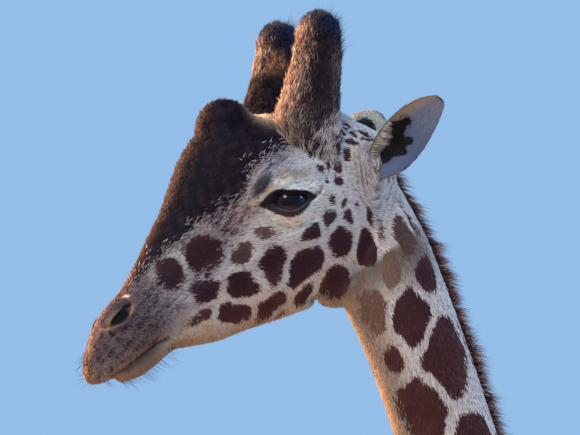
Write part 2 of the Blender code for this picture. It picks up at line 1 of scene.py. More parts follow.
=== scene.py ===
"""A reticulated giraffe bull, standing, as a life-size museum model.

The animal faces -Y, its left side is +X and its soles stand on z = 0. Lengths are metres. The
sections follow the animal as it is put together: camera and light, the skin, its markings, the
coat, then the eyes, whiskers, horns, ears, mane, tail and hooves.
"""

import math

import bmesh
import bpy
import numpy as np
from mathutils import Matrix, Vector


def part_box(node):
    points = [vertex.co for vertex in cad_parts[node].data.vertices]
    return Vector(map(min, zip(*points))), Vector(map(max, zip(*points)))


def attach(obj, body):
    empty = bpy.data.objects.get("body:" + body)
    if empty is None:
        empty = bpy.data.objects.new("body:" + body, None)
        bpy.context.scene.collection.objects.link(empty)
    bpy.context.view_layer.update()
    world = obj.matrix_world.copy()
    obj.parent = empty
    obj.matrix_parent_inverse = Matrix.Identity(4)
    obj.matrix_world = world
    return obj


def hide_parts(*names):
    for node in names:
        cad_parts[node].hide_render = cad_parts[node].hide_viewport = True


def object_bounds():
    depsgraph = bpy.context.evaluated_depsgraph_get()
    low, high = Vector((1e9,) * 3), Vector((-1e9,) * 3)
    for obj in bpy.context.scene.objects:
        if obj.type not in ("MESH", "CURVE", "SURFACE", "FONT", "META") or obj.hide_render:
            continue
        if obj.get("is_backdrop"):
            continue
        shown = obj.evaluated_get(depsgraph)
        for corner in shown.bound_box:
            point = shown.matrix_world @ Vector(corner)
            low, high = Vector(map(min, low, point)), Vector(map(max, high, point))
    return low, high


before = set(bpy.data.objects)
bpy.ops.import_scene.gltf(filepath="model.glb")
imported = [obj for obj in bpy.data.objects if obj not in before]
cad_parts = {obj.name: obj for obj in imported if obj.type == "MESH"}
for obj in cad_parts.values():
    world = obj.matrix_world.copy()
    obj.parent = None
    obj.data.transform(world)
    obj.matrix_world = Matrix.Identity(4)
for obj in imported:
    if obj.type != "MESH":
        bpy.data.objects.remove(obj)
CAD_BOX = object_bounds()

# ---------------------------------------------------------------- the head's own frame
# The head is measured along its own line, from the front of the upper lip towards the poll, and
# above it. The line points 37 degrees down, and the left eyeball's solid says where it lies.
PITCH = math.radians(37.0)
BACK = np.array([0.0, math.cos(PITCH), math.sin(PITCH)])
UP = np.array([0.0, -math.sin(PITCH), math.cos(PITCH)])
OUT = np.array([1.0, 0.0, 0.0])
EYE_AT = (0.457, 0.046, 0.089)  # along, above, out
eye_low, eye_high = (np.array(corner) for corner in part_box("eye_left"))
EYE_RADIUS = (eye_high - eye_low)[2] / 2
EYE = (eye_low + eye_high) / 2
LIP = EYE - EYE_AT[0] * BACK - EYE_AT[1] * UP - EYE_AT[2] * OUT


def on_head(along, above, out=0.0, side=1.0):
    """LIP + along BACK + above UP + side out OUT."""
    return LIP + along * BACK + above * UP + side * out * OUT


def head_place(points):
    """Along the head, above its line, and out from the midline, whichever the side."""
    moved = points - LIP
    return moved @ BACK, moved @ UP, np.abs(moved[:, 0])


# ---------------------------------------------------------------- camera, floor and light
# A museum hall's plain pale floor, a long lens 20 m off and soft daylight: one large warm lamp
# ahead of the animal on its far side, and a pale sky that fills the near side.
CAMERA_AZIMUTH = math.radians(62.0)
CAMERA_RISE = math.radians(-7.5)  # it looks up from below the head
CAMERA_FAR = 20.0
VIEW_WIDTH = 0.986  # what the frame takes in, at the head
SENSOR = 36.0
away = np.array([
    math.sin(CAMERA_AZIMUTH) * math.cos(CAMERA_RISE),
    -math.cos(CAMERA_AZIMUTH) * math.cos(CAMERA_RISE),
    math.sin(CAMERA_RISE),
])
skyward = np.array([
    -math.sin(CAMERA_AZIMUTH) * math.sin(CAMERA_RISE),
    math.cos(CAMERA_AZIMUTH) * math.sin(CAMERA_RISE),
    math.cos(CAMERA_RISE),
])
AIM_FROM_LIP = np.array([0.0, 0.389, 0.3275])
AIM_LOW = 0.0247  # how much lower the middle of the view lies
aim = LIP + AIM_FROM_LIP - AIM_LOW * skyward
camera = bpy.data.objects.new("camera", bpy.data.cameras.new("camera"))
camera.data.sensor_width = SENSOR
camera.data.lens = SENSOR * CAMERA_FAR / VIEW_WIDTH
camera.data.clip_end = 200.0
camera.location = Vector(aim + CAMERA_FAR * away)
camera.rotation_mode = "QUATERNION"
camera.rotation_quaternion = Vector(-away).to_track_quat("-Z", "Y")
bpy.context.scene.collection.objects.link(camera)
bpy.context.scene.camera = camera


def linear(hex_colour):
    """An sRGB hex colour as linear red, green, blue and one: ((c + .055) / 1.055) ^ 2.4."""
    c = np.array([int(hex_colour[i:i + 2], 16) for i in (1, 3, 5)]) / 255
    c = np.where(c <= 0.04045, c / 12.92, ((c + 0.055) / 1.055) ** 2.4)
    return (*(float(v) for v in c), 1.0)


def new_material(name, **settings):
    """A material with a Principled shader, whose own sockets take the settings."""
    material = bpy.data.materials.new(name)
    material.use_nodes = True
    shader = material.node_tree.nodes["Principled BSDF"]
    for socket, value in settings.items():
        shader.inputs[socket.replace("_", " ")].default_value = value
    return material


def node(material, kind, links=(), **settings):
    """Adds a node: settings named in_0, in_1 go to its sockets, and links are (input, socket)."""
    made = material.node_tree.nodes.new(kind)
    for name, value in settings.items():
        if name.startswith("in_"):
            made.inputs[int(name[3:])].default_value = value
        else:
            setattr(made, name, value)
    for target, source in links:
        material.node_tree.links.new(made.inputs[target], source)
    return made


def into_shader(material, socket, source):
    """Links a node's output to one of the Principled shader's sockets."""
    shader = material.node_tree.nodes["Principled BSDF"]
    material.node_tree.links.new(shader.inputs[socket], source)


def mesh_object(name, points, faces, material=None, smooth=True):
    """A mesh from arrays of points and of faces, each group with one count of corners."""
    data = bpy.data.meshes.new(name)
    groups = [np.atleast_2d(np.asarray(group, np.int32)) for group in faces]
    corners = np.concatenate([group.ravel() for group in groups])
    counts = np.concatenate([np.full(len(group), group.shape[1]) for group in groups])
    data.vertices.add(len(points))
    data.vertices.foreach_set("co", np.asarray(points, np.float32).ravel())
    data.loops.add(len(corners))
    data.loops.foreach_set("vertex_index", corners)
    data.polygons.add(len(counts))
    data.polygons.foreach_set("loop_start", (np.cumsum(counts) - counts).astype(np.int32))
    data.update(calc_edges=True)
    data.shade_smooth() if smooth else data.shade_flat()
    if material:
        data.materials.append(material)
    made = bpy.data.objects.new(name, data)
    bpy.context.scene.collection.objects.link(made)
    return made


FLOOR_REACH = 40.0
floor_material = new_material("plaster_floor", Base_Color=linear("#bdbbb6"), Roughness=0.9)
corners = [(-1, -1, 0), (1, -1, 0), (1, 1, 0), (-1, 1, 0)]
floor = mesh_object("floor", FLOOR_REACH * np.array(corners), [[(0, 1, 2, 3)]], floor_material)
floor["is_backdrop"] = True

world = bpy.data.worlds.new("pale_sky")
world.use_nodes = True
sky = world.node_tree.nodes["Background"]
sky.inputs["Color"].default_value = linear("#98c2ed")
sky.inputs["Strength"].default_value = 0.95
bpy.context.scene.world = world


def lamp(name, place, aim_at, size, watts, colour):
    """A round soft light at a place, turned to what it lights."""
    data = bpy.data.lights.new(name, "AREA")
    data.shape = "DISK"
    data.size, data.energy, data.color = size, watts, linear(colour)[:3]
    made = bpy.data.objects.new(name, data)
    made.location = Vector(place)
    made.rotation_mode = "QUATERNION"
    made.rotation_quaternion = (Vector(aim_at) - Vector(place)).to_track_quat("-Z", "Y")
    bpy.context.scene.collection.objects.link(made)
    return made


HEAD_AT = Vector((0.0, -1.0, 4.7))
lamp("warm_key", (-16.8, -15.1, 16.2), HEAD_AT, 3.2, 27000.0, "#ffbf82")
lamp("soft_fill", (9.6, -11.2, 16.2), HEAD_AT, 6.0, 2000.0, "#f6f0ee")
lamp("rear_fill", (6.6, 14.2, 15.0), HEAD_AT, 5.0, 1700.0, "#a9ccff")
bpy.context.scene.view_settings.view_transform = "Standard"

# ---------------------------------------------------------------- the skin
# One hide over the whole body, from the lips to the coronets: lean muscle and loose skin under
# it, folded at the eye, the nostril, the jaw and the ear. It lies under the coat's own depth.
NECK_ROOT = LIP + np.array([0.0, 1.49, -2.00])
NECK_RISE = math.radians(67.7)
ALONG_NECK = np.array([0.0, -math.cos(NECK_RISE), math.sin(NECK_RISE)])
NAPE_SIDE = np.array([0.0, math.sin(NECK_RISE), math.cos(NECK_RISE)])
BODY_VOXEL, BODY_SMOOTHING = 0.0205, 3
HEAD_VOXEL, HEAD_SMOOTHING = 0.004, 20
STANCE_STEP = 0.06  # how far ahead of or behind its pair's middle a foot stands
HIP_LEVEL = 2.1
SIDES = {"left": 1.0, "right": -1.0}

# along, upper edge, lower edge, widest level, half width
SKULL = [
    (0.000, 0.034, -0.026, -0.002, 0.034), (0.050, 0.055, -0.026, 0.004, 0.045),
    (0.100, 0.078, -0.027, 0.010, 0.054), (0.140, 0.085, -0.030, 0.012, 0.055),
    (0.190, 0.105, -0.040, 0.016, 0.054), (0.250, 0.134, -0.060, 0.022, 0.060),
    (0.300, 0.156, -0.080, 0.026, 0.070), (0.340, 0.180, -0.095, 0.030, 0.082),
    (0.380, 0.204, -0.108, 0.034, 0.094), (0.420, 0.218, -0.116, 0.040, 0.104),
    (0.460, 0.222, -0.120, 0.044, 0.110), (0.500, 0.208, -0.122, 0.040, 0.108),
    (0.550, 0.180, -0.120, 0.030, 0.101), (0.600, 0.150, -0.112, 0.015, 0.092),
    (0.660, 0.112, -0.090, 0.008, 0.078), (0.725, 0.085, -0.050, 0.005, 0.068),
]
JAW = [
    (0.050, -0.022, -0.0440, -0.034, 0.032), (0.074, -0.018, -0.0480, -0.035, 0.036),
    (0.104, -0.016, -0.0520, -0.036, 0.038), (0.134, -0.015, -0.0510, -0.034, 0.036),
    (0.164, -0.010, -0.0500, -0.030, 0.034), (0.200, -0.005, -0.0650, -0.030, 0.038),
    (0.250, 0.000, -0.0870, -0.035, 0.046), (0.310, 0.000, -0.1030, -0.040, 0.056),
    (0.360, 0.000, -0.1190, -0.045, 0.064), (0.400, 0.000, -0.1310, -0.050, 0.070),
    (0.440, 0.000, -0.1410, -0.055, 0.072), (0.485, 0.000, -0.1400, -0.055, 0.070),
]
NECK = [
    (0.00, 0.440, -0.380, 0.00, 0.250), (0.20, 0.380, -0.360, 0.00, 0.220),
    (0.50, 0.280, -0.270, 0.00, 0.165), (0.80, 0.208, -0.200, 0.00, 0.130),
    (1.20, 0.148, -0.146, 0.00, 0.098), (1.60, 0.114, -0.117, 0.00, 0.080),
    (2.00, 0.090, -0.096, 0.00, 0.069), (2.25, 0.095, -0.090, 0.00, 0.066),
    (2.40, 0.091, -0.102, 0.00, 0.066), (2.55, 0.066, -0.100, 0.00, 0.066),
    (2.70, 0.040, -0.090, -0.01, 0.060),
]
TRUNK = [
    (-0.42, 2.78, 2.26, 2.50, 0.18), (-0.25, 2.95, 2.09, 2.48, 0.25),
    (0.00, 3.07, 1.99, 2.46, 0.305), (0.15, 3.12, 1.965, 2.45, 0.325),
    (0.40, 3.02, 1.955, 2.42, 0.360), (0.65, 2.90, 1.965, 2.40, 0.385),
    (0.90, 2.79, 1.995, 2.38, 0.370), (1.10, 2.71, 2.060, 2.38, 0.330),
    (1.25, 2.63, 2.120, 2.37, 0.290), (1.41, 2.52, 2.200, 2.36, 0.220),
]
FORELEG = [  # level, front edge, rear edge, half width, distance from the midline
    (2.78, -0.16, 0.16, 0.070, 0.190), (2.60, -0.30, 0.17, 0.100, 0.195),
    (2.42, -0.36, 0.15, 0.112, 0.200), (2.20, -0.30, 0.15, 0.104, 0.205),
    (2.00, -0.215, 0.135, 0.088, 0.202), (1.80, -0.168, 0.080, 0.073, 0.194),
    (1.50, -0.146, 0.024, 0.059, 0.181), (1.25, -0.136, -0.008, 0.053, 0.172),
    (1.08, -0.150, -0.004, 0.062, 0.168), (0.97, -0.138, -0.006, 0.054, 0.165),
    (0.85, -0.119, -0.022, 0.043, 0.162), (0.55, -0.111, -0.020, 0.039, 0.157),
    (0.36, -0.114, -0.010, 0.044, 0.154), (0.27, -0.127, 0.006, 0.053, 0.152),
    (0.19, -0.142, -0.004, 0.050, 0.151), (0.13, -0.172, 0.000, 0.066, 0.150),
    (0.06, -0.208, 0.012, 0.086, 0.150), (-0.04, -0.246, 0.022, 0.100, 0.150),
]
HINDLEG = [
    (2.66, 0.82, 1.28, 0.110, 0.150), (2.42, 0.70, 1.395, 0.150, 0.175),
    (2.15, 0.69, 1.385, 0.146, 0.190), (1.95, 0.71, 1.310, 0.130, 0.195),
    (1.75, 0.755, 1.215, 0.108, 0.194), (1.55, 0.860, 1.180, 0.084, 0.190),
    (1.36, 0.965, 1.195, 0.064, 0.185), (1.22, 1.035, 1.238, 0.052, 0.181),
    (1.12, 1.062, 1.258, 0.058, 0.178), (1.01, 1.072, 1.232, 0.053, 0.174),
    (0.86, 1.074, 1.188, 0.044, 0.170), (0.55, 1.062, 1.158, 0.040, 0.163),
    (0.36, 1.055, 1.160, 0.045, 0.160), (0.27, 1.040, 1.172, 0.053, 0.158),
    (0.19, 1.022, 1.160, 0.049, 0.157), (0.13, 0.990, 1.160, 0.064, 0.156),
    (0.06, 0.955, 1.170, 0.082, 0.156), (-0.04, 0.920, 1.178, 0.094, 0.156),
]
LEGS = {  # rows, side, how far back the foot stands
    "front_left": (FORELEG, 1.0, -STANCE_STEP),
    "front_right": (FORELEG, -1.0, STANCE_STEP),
    "hind_left": (HINDLEG, 1.0, STANCE_STEP),
    "hind_right": (HINDLEG, -1.0, -STANCE_STEP),
}


def through(places, values, at):
    """A curve through stations that never overshoots.

    Between two stations it is the cubic Hermite curve, and each inner slope is the harmonic
    mean of its neighbours' slopes, or nothing where they turn.
    """
    places, values, at = (np.asarray(v, float) for v in (places, values, at))
    run = np.diff(places)
    rise = np.diff(values) / run
    same_way = rise[:-1] * rise[1:] > 0
    pair = np.where(same_way, rise[:-1] + rise[1:], 1.0)
    inner = np.where(same_way, 2 * rise[:-1] * rise[1:] / pair, 0.0)
    slope = np.concatenate([rise[:1], inner, rise[-1:]])
    at = np.clip(at, places[0], places[-1])
    i = np.clip(np.searchsorted(places, at, side="right") - 1, 0, len(run) - 1)
    t = (at - places[i]) / run[i]
    return (
        (1 + 2 * t) * (1 - t) ** 2 * values[i]
        + t * (1 - t) ** 2 * run[i] * slope[i]
        + t * t * (3 - 2 * t) * values[i + 1]
        + t * t * (t - 1) * run[i] * slope[i + 1]
    )


def loft(start, along, up, rows, caps, powers, taper, counts, shift=None):
    """Rings of points: superellipses |x|^p + |y|^p = 1 scaled to the rows' sizes.

    A ring inside an end cap is shrunk by sqrt(1 - d^2), so that the end closes as half an
    ellipsoid, and its sides draw in by the taper towards its top and bottom.
    """
    table = np.array(rows, float)
    first, last = table[0, 0], table[-1, 0]
    open_first, open_last = first + caps[0], last - caps[1]
    turn = np.linspace(0.12, math.pi / 2, 6)[:-1]
    middle = np.linspace(open_first, open_last, counts[0])
    s = np.concatenate(
        [open_first - caps[0] * np.cos(turn), middle, (open_last + caps[1] * np.cos(turn))[::-1]]
    )
    beyond = np.maximum((open_first - s) / caps[0], (s - open_last) / caps[1])
    shrink = np.sqrt(1 - np.clip(beyond, 0, 1) ** 2)
    top, bottom, level, half = (through(table[:, 0], column, s) for column in table[:, 1:5].T)
    angle = 2 * math.pi * np.arange(counts[1]) / counts[1]
    c, v = np.cos(angle), np.sin(angle)
    power = np.where(v > 0, powers[0], powers[1])
    across = np.sign(c) * np.abs(c) ** (2 / power)
    height = np.sign(v) * np.abs(v) ** (2 / power)
    narrowing = np.where(v > 0, taper[0], taper[1]) * np.abs(height) ** 1.5
    out = (half * shrink)[:, None] * (across * (1 - narrowing))[None]
    if shift is not None:
        out = out + through(table[:, 0], shift, s)[:, None]
    reach = np.where(height > 0, (top - level)[:, None], (level - bottom)[:, None])
    rise = level[:, None] + reach * shrink[:, None] * height[None]
    return (
        np.asarray(start) + s[:, None, None] * np.asarray(along)
        + rise[..., None] * np.asarray(up) + out[..., None] * OUT
    )


def leg(name, counts):
    """A leg's loft runs straight down and leans by step t^2 (3 - 2t) from the hip to the floor."""
    rows, side, step = LEGS[name]
    stations, shift = [], []
    for level, front, rear, half, out in rows:
        t = min(max((HIP_LEVEL - level) / HIP_LEVEL, 0.0), 1.0)
        back = step * t * t * (3 - 2 * t)
        stations.append((-level, -front - back, -rear - back, -(front + rear) / 2 - back, half))
        shift.append(side * out)
    return loft((0, 0, 0), (0, 0, -1), (0, -1, 0), stations, (0.10, 0.002), (2.1, 2.1), (
        0, 0), counts, shift)


def foot_place(name):
    """The middle of a foot, on the floor."""
    rows, side, step = LEGS[name]
    _, front, rear, _, out = rows[-2]
    return np.array([side * out, (front + rear) / 2 + step, 0.0])


def closed(rings):
    """Points and faces of a tube of rings, each end closed by a fan to its middle, facing out."""
    rings = np.asarray(rings, float)
    rows, count = rings.shape[:2]
    i, j = np.meshgrid(np.arange(rows - 1), np.arange(count), indexing="ij")
    near, across = i * count + j, i * count + (j + 1) % count
    quads = np.stack([near, across, across + count, near + count], axis=-1).reshape(-1, 4)
    points = np.concatenate([rings.reshape(-1, 3), rings[[0, -1]].mean(axis=1)])
    k = np.arange(count)
    first = np.stack([(k + 1) % count, k, np.full(count, rows * count)], axis=-1)
    base = (rows - 1) * count
    last = np.stack([base + k, base + (k + 1) % count, np.full(count, rows * count + 1)], axis=-1)
    fans = np.concatenate([first, last])
    a, b, c, d = (points[quads[:, n]] for n in range(4))
    volume = (np.cross(a, b) * c).sum() + (np.cross(a, c) * d).sum()
    if volume < 0:
        quads, fans = quads[:, ::-1], fans[:, ::-1]
    return points, quads, fans


def closed_piece(name, rings, material=None):
    """A piece made of a closed tube of rings, and its points."""
    points, quads, fans = closed(rings)
    return mesh_object(name, points, [quads, fans], material), points


def ball(centre, axes, radii):
    """Rings of an ellipsoid: latitude along its second axis, longitude round it."""
    rows, count, pole = 16, 24, 0.06
    latitude = np.linspace(pole, math.pi - pole, rows)[:, None, None]
    longitude = (2 * math.pi * np.arange(count) / count)[None, :, None]
    a, b, c = (np.asarray(axis) * radius for axis, radius in zip(axes, radii))
    ring = np.sin(latitude) * (np.cos(longitude) * a + np.sin(longitude) * c)
    return np.asarray(centre) + ring - np.cos(latitude) * b


def swellings():
    """The forehead boss, brows, cheek muscles, nostril pads and the throat, as (place, radii)."""
    axes = (OUT, BACK, UP)
    rings = [ball(on_head(0.478, 0.192), axes, (0.046, 0.054, 0.058))]
    for side in SIDES.values():
        rings.append(ball(on_head(0.450, 0.086, 0.084, side), axes, (0.034, 0.062, 0.028)))
        rings.append(ball(on_head(0.405, -0.03, 0.056, side), axes, (0.029, 0.085, 0.060)))
        rings.append(ball(on_head(0.104, 0.052, 0.036, side), axes, (0.017, 0.030, 0.019)))
    rings.append(ball(on_head(0.505, -0.133), axes, (0.050, 0.052, 0.045)))
    return rings


def with_modifiers(piece, *steps):
    """Adds modifiers, each (kind, settings), and keeps their result as the piece's mesh."""
    for kind, settings in steps:
        modifier = piece.modifiers.new(kind.title(), kind)
        for name, value in settings.items():
            setattr(modifier, name, value)
    graph = bpy.context.evaluated_depsgraph_get()
    made = bpy.data.meshes.new_from_object(piece.evaluated_get(graph))
    piece.modifiers.clear()
    piece.data = made
    return piece


def grown(name, tubes, voxel, smoothing):
    """Tubes of rings grown together into one closed surface and smoothed."""
    points, quads, fans, total = [], [], [], 0
    for rings in tubes:
        p, q, f = closed(rings)
        points.append(p)
        quads.append(q + total)
        fans.append(f + total)
        total += len(p)
    made = mesh_object(name, np.concatenate(points), [*quads, *fans])
    with_modifiers(made, ("REMESH", {"mode": "VOXEL", "voxel_size": voxel}))
    return with_modifiers(made, ("SMOOTH", {"factor": 0.5, "iterations": smoothing}))


def points_of(piece):
    """A piece's points, one row each."""
    values = np.empty(3 * len(piece.data.vertices), np.float32)
    piece.data.vertices.foreach_get("co", values)
    return values.reshape(-1, 3).astype(float)


def normals_of(piece):
    """The unit normal at each of a piece's points."""
    values = np.empty(3 * len(piece.data.vertices), np.float32)
    piece.data.vertex_normals.foreach_get("vector", values)
    return values.reshape(-1, 3).astype(float)


def move_points(piece, points):
    """Puts a piece's points at new places."""
    piece.data.vertices.foreach_set("co", np.asarray(points, np.float32).ravel())
    piece.data.update()


def drop(piece):
    """Takes away a piece that only served to shape another."""
    bpy.data.objects.remove(piece)


head_tubes = [
    loft(LIP, BACK, UP, SKULL, (0.06, 0.09), (1.85, 2.3), (0.05, 0.15), (60, 56)),
    loft(LIP, BACK, UP, JAW, (0.03, 0.06), (2.2, 2.2), (0.0, 0.35), (50, 40)),
    loft(NECK_ROOT, ALONG_NECK, NAPE_SIDE, NECK, (0.20, 0.10), (2.0, 2.1), (0.10, 0.0), (80, 56)),
] + swellings()
body_tubes = [
    loft((0, 0, 0), (0, 1, 0), (0, 0, 1), TRUNK, (0.16, 0.15), (1.75, 2.1), (0.1, 0.1), (50, 56)),
] + [leg(name, (90, 28)) for name in LEGS]

form = grown("form", head_tubes, HEAD_VOXEL, HEAD_SMOOTHING)
skin = grown("skin", head_tubes + body_tubes, BODY_VOXEL, BODY_SMOOTHING)


def along_neck(points):
    """How far up the neck's line a point lies."""
    return (points - NECK_ROOT) @ ALONG_NECK


def divided(piece, near):
    """Splits each edge whose two ends are near in half, and the faces with it."""
    ends = np.empty(2 * len(piece.data.edges), np.int32)
    piece.data.edges.foreach_get("vertices", ends)
    chosen = near[ends].reshape(-1, 2).all(axis=1)
    mesh = bmesh.new()
    mesh.from_mesh(piece.data)
    mesh.edges.ensure_lookup_table()
    edges = [mesh.edges[i] for i in np.flatnonzero(chosen)]
    bmesh.ops.subdivide_edges(mesh, edges=edges, cuts=1, use_grid_fill=True)
    mesh.to_mesh(piece.data)
    mesh.free()


def wrapped(piece, target, weights):
    """Draws a piece's points onto the target's surface, by their weights."""
    group = piece.vertex_groups.new(name="fit")
    for level in np.unique(np.round(weights[weights > 0], 1)):
        chosen = np.flatnonzero(np.abs(weights - level) <= 0.05)
        group.add(chosen.tolist(), float(level), "REPLACE")
    with_modifiers(piece, ("SHRINKWRAP", {
        "target": target, "wrap_method": "NEAREST_SURFACEPOINT", "vertex_group": group.name}))
    piece.vertex_groups.clear()


FIT_FROM, FIT_FULL = 1.75, 1.95  # along the neck, where the fine form takes over
REFIT_FROM, REFIT_FULL = 2.0, 2.1  # and where it does so again, once the skin is finer there
NECK_TOP, HEAD_FROM = 2.02, 2.3  # along the neck, where the skin is first and then twice as fine
NOSTRIL = (0.104, 0.067, math.radians(10.0), 0.037, 0.0165)  # along, above, tilt, half sizes
divided(skin, along_neck(points_of(skin)) > NECK_TOP)
points = points_of(skin)
divided(skin, (head_place(points)[0] < 0.80) & (along_neck(points) > HEAD_FROM))
t = along_neck(points_of(skin))
wrapped(skin, form, np.clip((t - FIT_FROM) / (FIT_FULL - FIT_FROM), 0, 1))
with_modifiers(skin, ("SMOOTH", {"factor": 0.4, "iterations": 1}))
s, h, x = head_place(points_of(skin))
near_mouth = (s < 0.175) & (h < 0.0) & (h > -0.05)
near_nostril = (np.hypot(s - NOSTRIL[0], h - NOSTRIL[1]) < 0.055) & (x > 0.010)
near_eye = (np.hypot(s - EYE_AT[0], h - EYE_AT[1]) < 0.085) & (x > 0.05)
divided(skin, near_eye | near_mouth | near_nostril)
s, h, x = head_place(points_of(skin))
divided(skin, (np.hypot(s - NOSTRIL[0], h - NOSTRIL[1]) < 0.046) & (x > 0.010))
t = along_neck(points_of(skin))
wrapped(skin, form, np.clip((t - REFIT_FROM) / (REFIT_FULL - REFIT_FROM), 0, 1))
drop(form)


def furrow(u, v, path, width):
    """exp(-(d / width)^2), where d is the distance in the plane (u, v) to a chain of straights."""
    path = np.asarray(path, float)
    nearest = np.full(len(u), np.inf)
    for (u0, v0), (u1, v1) in zip(path[:-1], path[1:]):
        run = (u1 - u0, v1 - v0)
        t = ((u - u0) * run[0] + (v - v0) * run[1]) / (run[0] ** 2 + run[1] ** 2)
        t = np.clip(t, 0, 1)
        nearest = np.minimum(nearest, np.hypot(u - u0 - t * run[0], v - v0 - t * run[1]))
    return np.exp(-((nearest / width) ** 2))


def ramp(low, high, value):
    """0 below low and 1 above high, t^2 (3 - 2t) between."""
    t = np.clip((value - low) / (high - low), 0, 1)
    return t * t * (3 - 2 * t)


EYE_TILT = math.radians(-26.0)  # the eye's long axis, against the head's line
EYE_LONG = math.cos(EYE_TILT) * BACK + math.sin(EYE_TILT) * UP
EYE_HIGH = -math.sin(EYE_TILT) * BACK + math.cos(EYE_TILT) * UP
LID_RADIUS = EYE_RADIUS + 0.0025
TURNED_IN = 0.004  # how far the skin inside the lids lies behind the eyeball's front


def eye_place(points):
    """Along the eye, above its axis, and outwards from its centre, whichever the side."""
    moved = points.copy()
    moved[:, 0] = np.abs(moved[:, 0])
    moved = moved - EYE
    return moved @ EYE_LONG, moved @ EYE_HIGH, moved[:, 0]


# along the eye's axis, the upper edge, the lower edge
LIDS = np.array([
    (-0.0350, 0.0060, 0.0060), (-0.0320, 0.0125, -0.0015), (-0.0280, 0.0180, -0.0065),
    (-0.0220, 0.0188, -0.0105), (-0.0135, 0.0170, -0.0128), (-0.0040, 0.0152, -0.0122),
    (0.0070, 0.0140, -0.0092), (0.0160, 0.0130, -0.0045), (0.0220, 0.0112, -0.0005),
    (0.0262, 0.0045, 0.0045),
])
BARE_RIM = np.array([
    (-0.0600, 0.0055, 0.0055), (-0.0520, 0.0140, 0.0010), (-0.0430, 0.0210, -0.0050),
    (-0.0300, 0.0262, -0.0155), (-0.0200, 0.0262, -0.0220), (-0.0100, 0.0236, -0.0245),
    (0.0040, 0.0208, -0.0220), (0.0150, 0.0190, -0.0160), (0.0240, 0.0175, -0.0100),
    (0.0360, 0.0145, -0.0030), (0.0540, 0.0060, 0.0060),
])


def opening(a):
    """The upper and lower edge of the open eye, flat above and round below."""
    return through(LIDS[:, 0], LIDS[:, 1], a), through(LIDS[:, 0], LIDS[:, 2], a)


def between(edges, b):
    """How far b lies inside a pair of edges, less than nothing outside them."""
    upper, lower = edges
    return np.minimum(upper - b, b - lower)


def bare_rim(a):
    """The outer edge of the bare black skin round the eye, drawn out to a point at each end."""
    return through(BARE_RIM[:, 0], BARE_RIM[:, 1], a), through(BARE_RIM[:, 0], BARE_RIM[:, 2], a)


MOUTH = [(0.045, -0.018), (0.068, -0.019), (0.107, -0.016), (0.135, -0.017), (0.160, -0.022)]
# The hollow of the upper lid is darkened with painted shade inside this oval.
HOLLOW_SHADE = (-0.048, 0.0375, math.radians(43.0), 0.030, 0.0105)  # of the upper lid, from the eye
SLIT = (0.106, 0.0605, math.radians(7.0), 0.026, 0.0062)
CREASES = [  # behind the corner of the mouth
    [(0.225, 0.020 + above), (0.185, 0.016 + above), (0.150, 0.004 + above)]
    for above in (0.0, 0.010, 0.019)]


def oval(s, h, shape):
    """Distance from an oval's middle, 1 at its edge."""
    along, above, tilt, length, height = shape
    u = (s - along) * math.cos(tilt) + (h - above) * math.sin(tilt)
    v = -(s - along) * math.sin(tilt) + (h - above) * math.cos(tilt)
    return np.hypot(u / length, v / height)


def carved(points, normals):
    """The head's folds: each furrow or swelling moves the surface along its normal."""
    s, h, x = head_place(points)
    a, b, out = eye_place(points)
    side = ramp(0.02, 0.045, x)
    rise = np.zeros(len(points))
    lids = side * ramp(-0.04, -0.01, out)
    hollow = [(-0.062, 0.022), (-0.046, 0.036), (-0.029, 0.0465), (-0.012, 0.052)]
    eye_folds = [(-0.0080, hollow, 0.0075)]  # how far each lifts the skin, its path and its width
    for above, lift in ((0.010, 0.0022), (0.0165, -0.0030), (0.023, 0.0020), (0.029, -0.0024)):
        path = [(u, v + above) for u, v in hollow[:3]] + [(0.012, 0.062 + above)]
        eye_folds.append((lift, path, 0.0030))
    eye_folds += [
        (-0.0022, [(0.046, 0.007), (0.058, 0.012), (0.068, 0.024)], 0.003),
        (0.0030, [(-0.012, 0.033), (0.02, 0.034), (0.045, 0.019)], 0.009),
        (-0.0025, [(-0.060, 0.001), (-0.036, 0.002)], 0.0030),
        (-0.0018, [(-0.045, -0.030), (0.0, -0.045), (0.04, -0.030)], 0.006),
    ]
    for lift, path, width in eye_folds:
        rise += lift * lids * furrow(a, b, path, width)
    cheek_folds = [
        (0.0045, [(0.46, -0.012), (0.40, 0.0), (0.30, 0.010), (0.20, 0.012)], 0.013),
        (-0.0045, [(0.37, 0.055), (0.28, 0.052), (0.22, 0.045)], 0.018),
        (-0.0050, [(0.56, 0.040), (0.60, 0.045)], 0.022),
    ]
    cheek_folds += [(-0.0013, crease, 0.0026) for crease in CREASES]
    for lift, path, width in cheek_folds:
        rise += lift * side * furrow(s, h, path, width)
    behind_jaw = [(0.425, -0.122), (0.470, -0.134), (0.52, -0.126), (0.57, -0.098)]
    rise -= 0.0060 * furrow(s, h, behind_jaw, 0.0065)
    rise -= 0.0070 * furrow(s, h, MOUTH, 0.0026) * ramp(0.040, 0.052, s)
    rise += 0.0018 * furrow(s, h + 0.0065, MOUTH, 0.0032) * ramp(0.03, 0.06, s)
    near = (s < 0.75) & (along_neck(points) > 2.0)
    basin = oval(s, h, NOSTRIL)
    flare = 0.0030 * np.exp(-(((basin - 1.12) / 0.20) ** 2)) - 0.0050 * (1 - ramp(0.30, 1.02, basin))
    flare -= 0.0090 * (1 - ramp(0.45, 1.35, oval(s, h, SLIT)))
    flare *= near * ramp(0.010, 0.020, x)
    outward = np.sign(points[:, :1]) * OUT
    return points + (rise * near)[:, None] * normals + flare[:, None] * outward


def coat_depth(points):
    """How deep the skin lies under the tips of the coat."""
    face = ramp(2.25, 2.5, along_neck(points))
    leg_part = 1 - ramp(1.2, 2.0, points[:, 2])
    depth = 0.0055 - 0.0025 * leg_part
    face_depth = 0.0012 + 0.0020 * ramp(0.10, 0.30, head_place(points)[0])
    return depth * (1 - face) + face_depth * face


